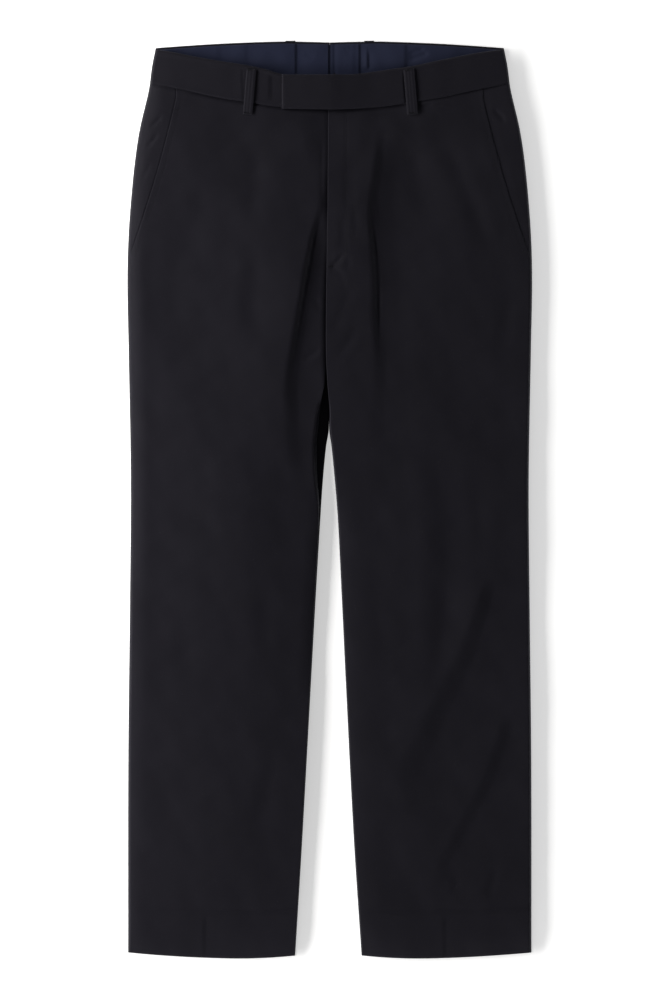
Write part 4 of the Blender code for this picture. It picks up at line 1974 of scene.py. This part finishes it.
    def strip(
        self,
        ends: Callable[[Array], tuple[Array, Array]],
        low: Callable[[Array], Array],
        high: Callable[[Array], Array],
        column: float,
    ) -> tuple[Array, Array, Array, Array]:
        """Places the points of a strip between two level curves.

        Args:
            ends: the strip's two ends at a level, in order of x.
            low: level of its lower edge at a distance across.
            high: level of its upper edge.
            column: width of its columns.

        Returns:
            x, y, and the distances from the lower and the upper edge.
        """
        zero = np.asarray(0.0)
        up = shares_of(float(high(zero) - low(zero)), *self.rows)
        first, last = ends(low(zero))
        shares = shares_of(float(last - first), column, self.end_column, self.end_steps)
        along, across = np.meshgrid(up, shares, indexing="ij")
        x = mix(first, last, across)
        for _ in range(ROUNDS):
            y = mix(low(x), high(x), along)
            start, end = ends(y)
            x = mix(start, end, across)
        return x, y, y - low(x), high(x) - y

    def rolled_edge(self, roll: Triple, distance: Array) -> Array:
        """Height of the soft roll along an edge, at a distance in from it."""
        height, place, reach = roll
        return height * bell(distance - place, reach)

    def edged(self, below: Array, above: Array) -> Array:
        """Rounds the long edges of a strip in front."""
        lower = DRAPE.rounded(below, *self.lower_edge) + self.rolled_edge(self.lower_roll, below)
        upper = DRAPE.rounded(above, *self.upper_edge) + self.rolled_edge(self.upper_roll, above)
        return lower + upper

    def front_left(self) -> None:
        """The left half in front, with the squared tab."""
        half = BAND_WALL / 2.0
        x, y, below, above = self.strip(
            lambda y: (self.tab_end + half, CUT.outer(y) - half),
            lambda x: CUT.waist_seam.at(np.maximum(x, -self.tab_slope * x)) + half,
            lambda x: CUT.left_band_top.at(np.maximum(x, 0.0)) - half,
            self.column,
        )
        tip = x - self.tab_end
        z = self.face(x, y) + self.tab_rise(x) + self.edged(below, above)
        z = z + DRAPE.rounded(tip, *self.tab_edge)
        z = z - self.tab_droop * smooth(self.tab_droop_reach, 0.0, tip)
        below_it = ("front_cloth_left", "waistband_front_cloth_right")
        self.left_sheet.lay(Side.LEFT, (x, y, z), self.finishes, *below_it)

    def front_right(self) -> None:
        """The right half in front, under the tab."""
        half = BAND_WALL / 2.0

        def top(x: Array) -> Array:
            """The band's upper edge, a little lower under the tab."""
            edge = CUT.right_band_top.at(np.maximum(-x, 0.0)) - half
            return edge - self.right_lower * smooth(*self.right_lower_span, x)

        x, y, below, above = self.strip(
            lambda y: (-CUT.outer(y) + half, self.right_end - half),
            lambda x: CUT.waist_seam.at(np.abs(x)) + half,
            top,
            self.column,
        )
        z = self.face(x, y) + self.edged(below, above)
        self.right_sheet.lay(Side.RIGHT, (x, y, z), self.finishes, "front_cloth_right")

    def back(self, side: Side) -> None:
        """Half of the band at the back, lying on its loops.

        Args:
            side: the side.
        """
        half = BAND_WALL / 2.0
        sign = side.value
        x, y, _, above = self.strip(
            lambda y: side.ordered(sign * (half + GAP), sign * (CUT.outer(y) - half)),
            lambda x: CUT.back_rim.at(np.abs(x)) - CUT.band_height + half,
            lambda x: CUT.back_rim.at(np.abs(x)) - half,
            self.back_column,
        )
        z = self.back_level + self.rolled_edge(self.back_roll, above)
        z = z + DRAPE.rounded(above, *self.back_edge)
        self.back_sheet.lay(side, (x, y, z), self.finishes, f"back_cloth_{side.label}")

    def lining(self, side: Side) -> None:
        """Half of the lining strip inside the back, the left one under the right one's edge.

        Args:
            side: the side.
        """
        left_lap, right_lap = self.lining_lap
        inner = left_lap if side is Side.LEFT else right_lap
        x, y, _, above = self.strip(
            lambda y: side.ordered(inner, side.value * (CUT.outer(y) - self.lining_side)),
            lambda x: CUT.back_rim.at(np.abs(x)) - self.lining_inset - self.lining_height,
            lambda x: CUT.back_rim.at(np.abs(x)) - self.lining_inset,
            self.column,
        )
        z = self.lining_level - self.lining_fall * smooth(*self.lining_fall_span, above)
        z = z + self.lining_relief(x, y) + DRAPE.rounded(above, *self.lining_edge)
        if side is Side.LEFT:
            z = z - self.lining_lap_drop * smooth(*self.lining_lap_span, x)
        below = f"waistband_back_cloth_{side.label}"
        self.lining_sheet.lay(side, (x, y, z), self.finishes, below)

    def lining_relief(self, x: Array, y: Array) -> Array:
        """Seams, folds and puckers of the lining.

        Args:
            x: distances across.
            y: levels.

        Returns:
            Height that they add at each point.
        """
        found = reliefs((self.lining_ripple, *self.lining_creases), x, y)
        for pleat in self.lining_pleats:
            found = found + pleat.relief(x)
        return found

    def build(self) -> None:
        """Makes every piece of the band."""
        for side in Side:
            self.back(side)
            self.lining(side)
        self.front_right()
        self.front_left()


# ------------ belt loops


@dataclass
class BeltLoops:
    """Six loops: two shown in front, two at the sides and two at the back.

    Feet and heads are the places of a left loop, and a right loop mirrors them.
    """

    finishes: Finishes
    front_sheet: Sheet = Sheet("belt_loop_front", (0.0115, 0.066))
    side_sheet: Sheet = Sheet("belt_loop_side", (0.0115, 0.062), wall=0.0008)
    back_sheet: Sheet = Sheet("belt_loop_back", (0.0115, 0.062), wall=0.0008)
    left_width: float = 0.012
    right_width: float = 0.0106
    rear_width: float = 0.0108
    tilt: float = 0.07
    columns: Spacing = (0.0008, 0.0003, 4)
    crown: float = 0.00022
    rib: float = 0.00008
    rib_pitch: float = 0.0036
    rib_shift: float = 0.9
    front_foot: Pair = (0.0963, 0.4513)
    front_head: Pair = (0.092, 0.5026)
    front_shift: float = 0.0004
    front_rows: int = 40
    front_above: float = 0.0012
    foot_above: float = 0.0014
    seam_span: Pair = (0.456, 0.469)
    arch: float = 0.0004
    arch_power: float = 0.7
    turn_radius: float = 0.0008
    turn_degrees: Pair = (12.0, 80.0)
    turn_rows: int = 6
    side_foot: Pair = (0.165, 0.48)
    side_head: Pair = (0.164, 0.53)
    back_foot: Pair = (0.047, 0.484)
    back_head: Pair = (0.046, 0.5362)
    rear_level: float = 0.001
    rear_rows: int = 24
    rear_turn: Pair = (0.0006, 0.0022)
    rear_turn_span: Pair = (0.1, 1.0)
    rear_turn_rows: int = 8
    rear_turn_bend: float = 1.7
    rear_turn_power: float = 1.5
    tack: StitchRow = StitchRow("loop_tacks", TACK_PITCH, TACK_LENGTH, 0.00032, 41)
    tack_half: float = 0.0044
    tack_stitches: int = 7
    tack_up: float = 0.0012
    tack_lifts: Pair = (0.0004, 0.0003)

    def grid(self, spine: Array, across: Array, width: float, tilt: float = 0.0) -> Array:
        """Sweeps the loop's section along its spine.

        Args:
            spine: points along the middle of the upper face, from the foot to the head.
            across: sideways direction of the strip, in the order of x.
            width: width of the strip.
            tilt: slope of the strip across its width.

        Returns:
            x, y and z of the upper face, as rows by columns.
        """
        run = np.gradient(spine, axis=0)
        up = np.cross(across, run)
        up /= np.linalg.norm(up, axis=1, keepdims=True)
        places = spaced(-width / 2, width / 2, *self.columns)
        section = self.crown * (1.0 - np.abs(2 * places / width) ** 4)
        ribs = np.cos(places * 2 * math.pi / self.rib_pitch + self.rib_shift)
        section = section + self.rib * ribs + tilt * places
        points = spine[:, None, :] + across * places[None, :, None]
        return np.moveaxis(points + up[:, None, :] * section[None, :, None], 2, 0)

    def front(self, side: Side, band: Waistband) -> None:
        """A loop in front: sewn below the seam, arched over the band and turned over its rim.

        Args:
            side: the side.
            band: the band that it lies on.
        """
        mirror = np.array([side.value, 1.0])
        shift = np.array([self.front_shift, 0.0])
        foot = np.array(self.front_foot) * mirror + shift
        head = np.array(self.front_head) * mirror + shift
        share = np.linspace(0.0, 1.0, self.front_rows)
        x, y = (foot + (head - foot) * share[:, None]).T
        seat = band.face(x, y) + (band.tab_rise(x) if side is Side.LEFT else 0.0)
        ground = mix(DRAPE.front_loft + self.foot_above, seat, smooth(*self.seam_span, y))
        arch = self.arch * np.sin(math.pi * share) ** self.arch_power
        spine = np.stack([x, y, ground + self.front_above + arch], 1)
        top = spine[-1]
        bend = np.radians(np.linspace(*self.turn_degrees, self.turn_rows))
        way = (head - foot) / np.linalg.norm(head - foot)
        ahead = np.sin(bend)
        turned = np.stack([ahead * way[0], ahead * way[1], np.cos(bend) - 1.0], 1)
        spine = np.vstack([spine, top + self.turn_radius * turned])
        across = np.array([way[1], -way[0], 0.0])
        width = self.left_width if side is Side.LEFT else self.right_width
        points = self.grid(spine, across, width, self.tilt)
        below = f"waistband_front_cloth_{side.label}"
        self.front_sheet.lay(side, points, self.finishes, below)
        self.tacks(side, spine[0] + [0.0, self.tack_up, 0.0], top, across)

    def tacks(self, side: Side, foot: Array, head: Array, across: Array) -> None:
        """Bar tacks at the foot and the head of a loop.

        Args:
            side: the side.
            foot: middle of the lower tack.
            head: middle of the upper tack.
            across: direction of the tacks.
        """
        reach = np.linspace(-self.tack_half, self.tack_half, self.tack_stitches)[:, None] * across
        lines = []
        for place, lift in zip((foot, head), self.tack_lifts):
            lines += [place + reach + [0.0, shift, lift] for shift in TACK_ROWS]
        self.tack.sew(lines, self.finishes, side)

    def rear(self, sheet: Sheet, side: Side, foot: Pair, head: Pair) -> None:
        """A loop under the back, pressed flat by the garment and turned over the rim.

        Args:
            sheet: the kind of loop.
            side: the side.
            foot: place of a left loop's foot.
            head: place of a left loop's head.
        """
        mirror = np.array([side.value, 1.0])
        share = np.linspace(0.0, 1.0, self.rear_rows)
        x, y = (mix(np.array(foot), np.array(head), share[:, None]) * mirror).T
        spine = np.stack([x, y, np.full_like(x, self.rear_level)], 1)
        bend = np.linspace(*self.rear_turn_span, self.rear_turn_rows)
        out, up = self.rear_turn
        outwards = out * np.sin(bend * self.rear_turn_bend)
        turned = np.stack([np.zeros_like(bend), outwards, up * bend**self.rear_turn_power], 1)
        spine = np.vstack([spine[:-1], spine[-1] + turned])
        points = self.grid(spine, np.array([1.0, 0.0, 0.0]), self.rear_width)
        sheet.lay(side, points, self.finishes, "floor")

    def build(self, band: Waistband) -> None:
        """Makes the six loops."""
        for side in Side:
            self.front(side, band)
            self.rear(self.side_sheet, side, self.side_foot, self.side_head)
            self.rear(self.back_sheet, side, self.back_foot, self.back_head)


# ------------ studio


@dataclass(frozen=True)
class SoftLight:
    """A soft panel of light aimed at a point."""

    name: str
    place: Triple
    aim: Triple
    size: Pair
    power: float
    colour: Colour = (1.0, 1.0, 1.0)

    def build(self) -> None:
        """Hangs the light."""
        data = bpy.data.lights.new(self.name, "AREA")
        data.shape = "RECTANGLE"
        data.size, data.size_y = self.size
        data.energy = self.power
        data.color = self.colour
        obj = link(bpy.data.objects.new(self.name, data))
        place = np.asarray(self.place)
        way = np.asarray(self.aim) - place
        obj.location = place
        obj.rotation_mode = "QUATERNION"
        obj.rotation_quaternion = Vector(way).to_track_quat("-Z", "Y")


@dataclass
class Studio:
    """Pale floor, even white surroundings, soft lights and the camera straight above."""

    centre: Pair = (0.0073, -0.0044)
    view_length: float = 1.1794
    distance: float = 10.0
    sensor: float = 36.0
    clip_end: float = 20.0
    surround: float = 0.19
    floor_reach: float = 30.0
    floor_level: float = -0.00005
    floor_grey: float = 0.93
    floor_glow: float = 0.42
    lights: tuple[SoftLight, ...] = (
        SoftLight("key", (-2.2, 0.05, 0.96), (0.0, 0.0, 0.0), (4.2, 0.85), 140.0, (1.0, 0.99, 0.97)),
        SoftLight("wash", (-0.62, 0.05, 0.2), (-0.16, 0.0, 0.0), (1.5, 0.12), 4.6, (1.0, 0.99, 0.97)),
        SoftLight("rim", (2.6, 0.0, 0.45), (0.2, 0.0, 0.0), (2.2, 0.4), 2.5, (0.97, 0.98, 1.0)),
        SoftLight("edge", (0.64, 0.0, 0.045), (0.23, 0.0, 0.0), (1.5, 0.06), 2.4, (0.97, 0.98, 1.0)),
        SoftLight("foot", (0.0, -2.3, 0.4), (0.0, -0.5, 0.0), (1.6, 0.4), 3.6, (1.0, 1.0, 1.0)),
        SoftLight("hem", (0.0, -1.1, 0.045), (0.0, -0.53, 0.0), (0.9, 0.06), 4.6, (1.0, 1.0, 1.0)),
        SoftLight("head", (0.0, 1.1, 0.14), (0.0, 0.45, 0.0), (0.9, 0.12), 1.2, (1.0, 1.0, 1.0)),
    )

    def floor(self) -> None:
        """The surface that the trousers lie on."""
        mesh = bpy.data.meshes.new("floor")
        reach = self.floor_reach
        around = ((-reach, -reach), (reach, -reach), (reach, reach), (-reach, reach))
        mesh.from_pydata([(x, y, self.floor_level) for x, y in around], [], [(0, 1, 2, 3)])
        sockets = {
            "Base Color": (self.floor_grey, self.floor_grey, self.floor_grey, 1.0),
            "Roughness": 0.9,
            "Specular IOR Level": 0.1,
            "Emission Color": (1.0, 1.0, 1.0, 1.0),
            "Emission Strength": self.floor_glow,
        }
        mesh.materials.append(shaded("floor_paper", sockets)[0])
        link(bpy.data.objects.new("floor", mesh))

    def surroundings(self) -> None:
        """Even white light from all round."""
        world = bpy.data.worlds.new("surroundings")
        world.use_nodes = True
        background = world.node_tree.nodes["Background"]
        background.inputs["Color"].default_value = (1.0, 1.0, 1.0, 1.0)
        background.inputs["Strength"].default_value = self.surround
        bpy.context.scene.world = world
        bpy.context.scene.view_settings.view_transform = "Standard"
        bpy.context.scene.view_settings.look = "None"

    def camera(self) -> None:
        """The camera, straight above the middle of the garment."""
        data = bpy.data.cameras.new("camera")
        data.sensor_width = self.sensor
        data.lens = self.sensor * self.distance / self.view_length
        data.clip_end = self.clip_end
        obj = link(bpy.data.objects.new("camera", data))
        obj.location = (*self.centre, self.distance)
        bpy.context.scene.camera = obj

    def build(self) -> None:
        """Sets up the whole studio."""
        self.floor()
        self.surroundings()
        self.camera()
        for light in self.lights:
            light.build()


def main() -> None:
    """Builds the studio and every piece."""
    logging.basicConfig(level=logging.INFO, format="%(message)s")
    Studio().build()
    finishes = Finishes()
    legs = Legs(finishes)
    legs.build()
    fly = Fly(finishes)
    fly.zip()
    fly.stitches(legs)
    SidePockets(finishes).build(legs)
    band = Waistband(finishes)
    band.build()
    BeltLoops(finishes).build(band)


if __name__ == "__main__":
    main()
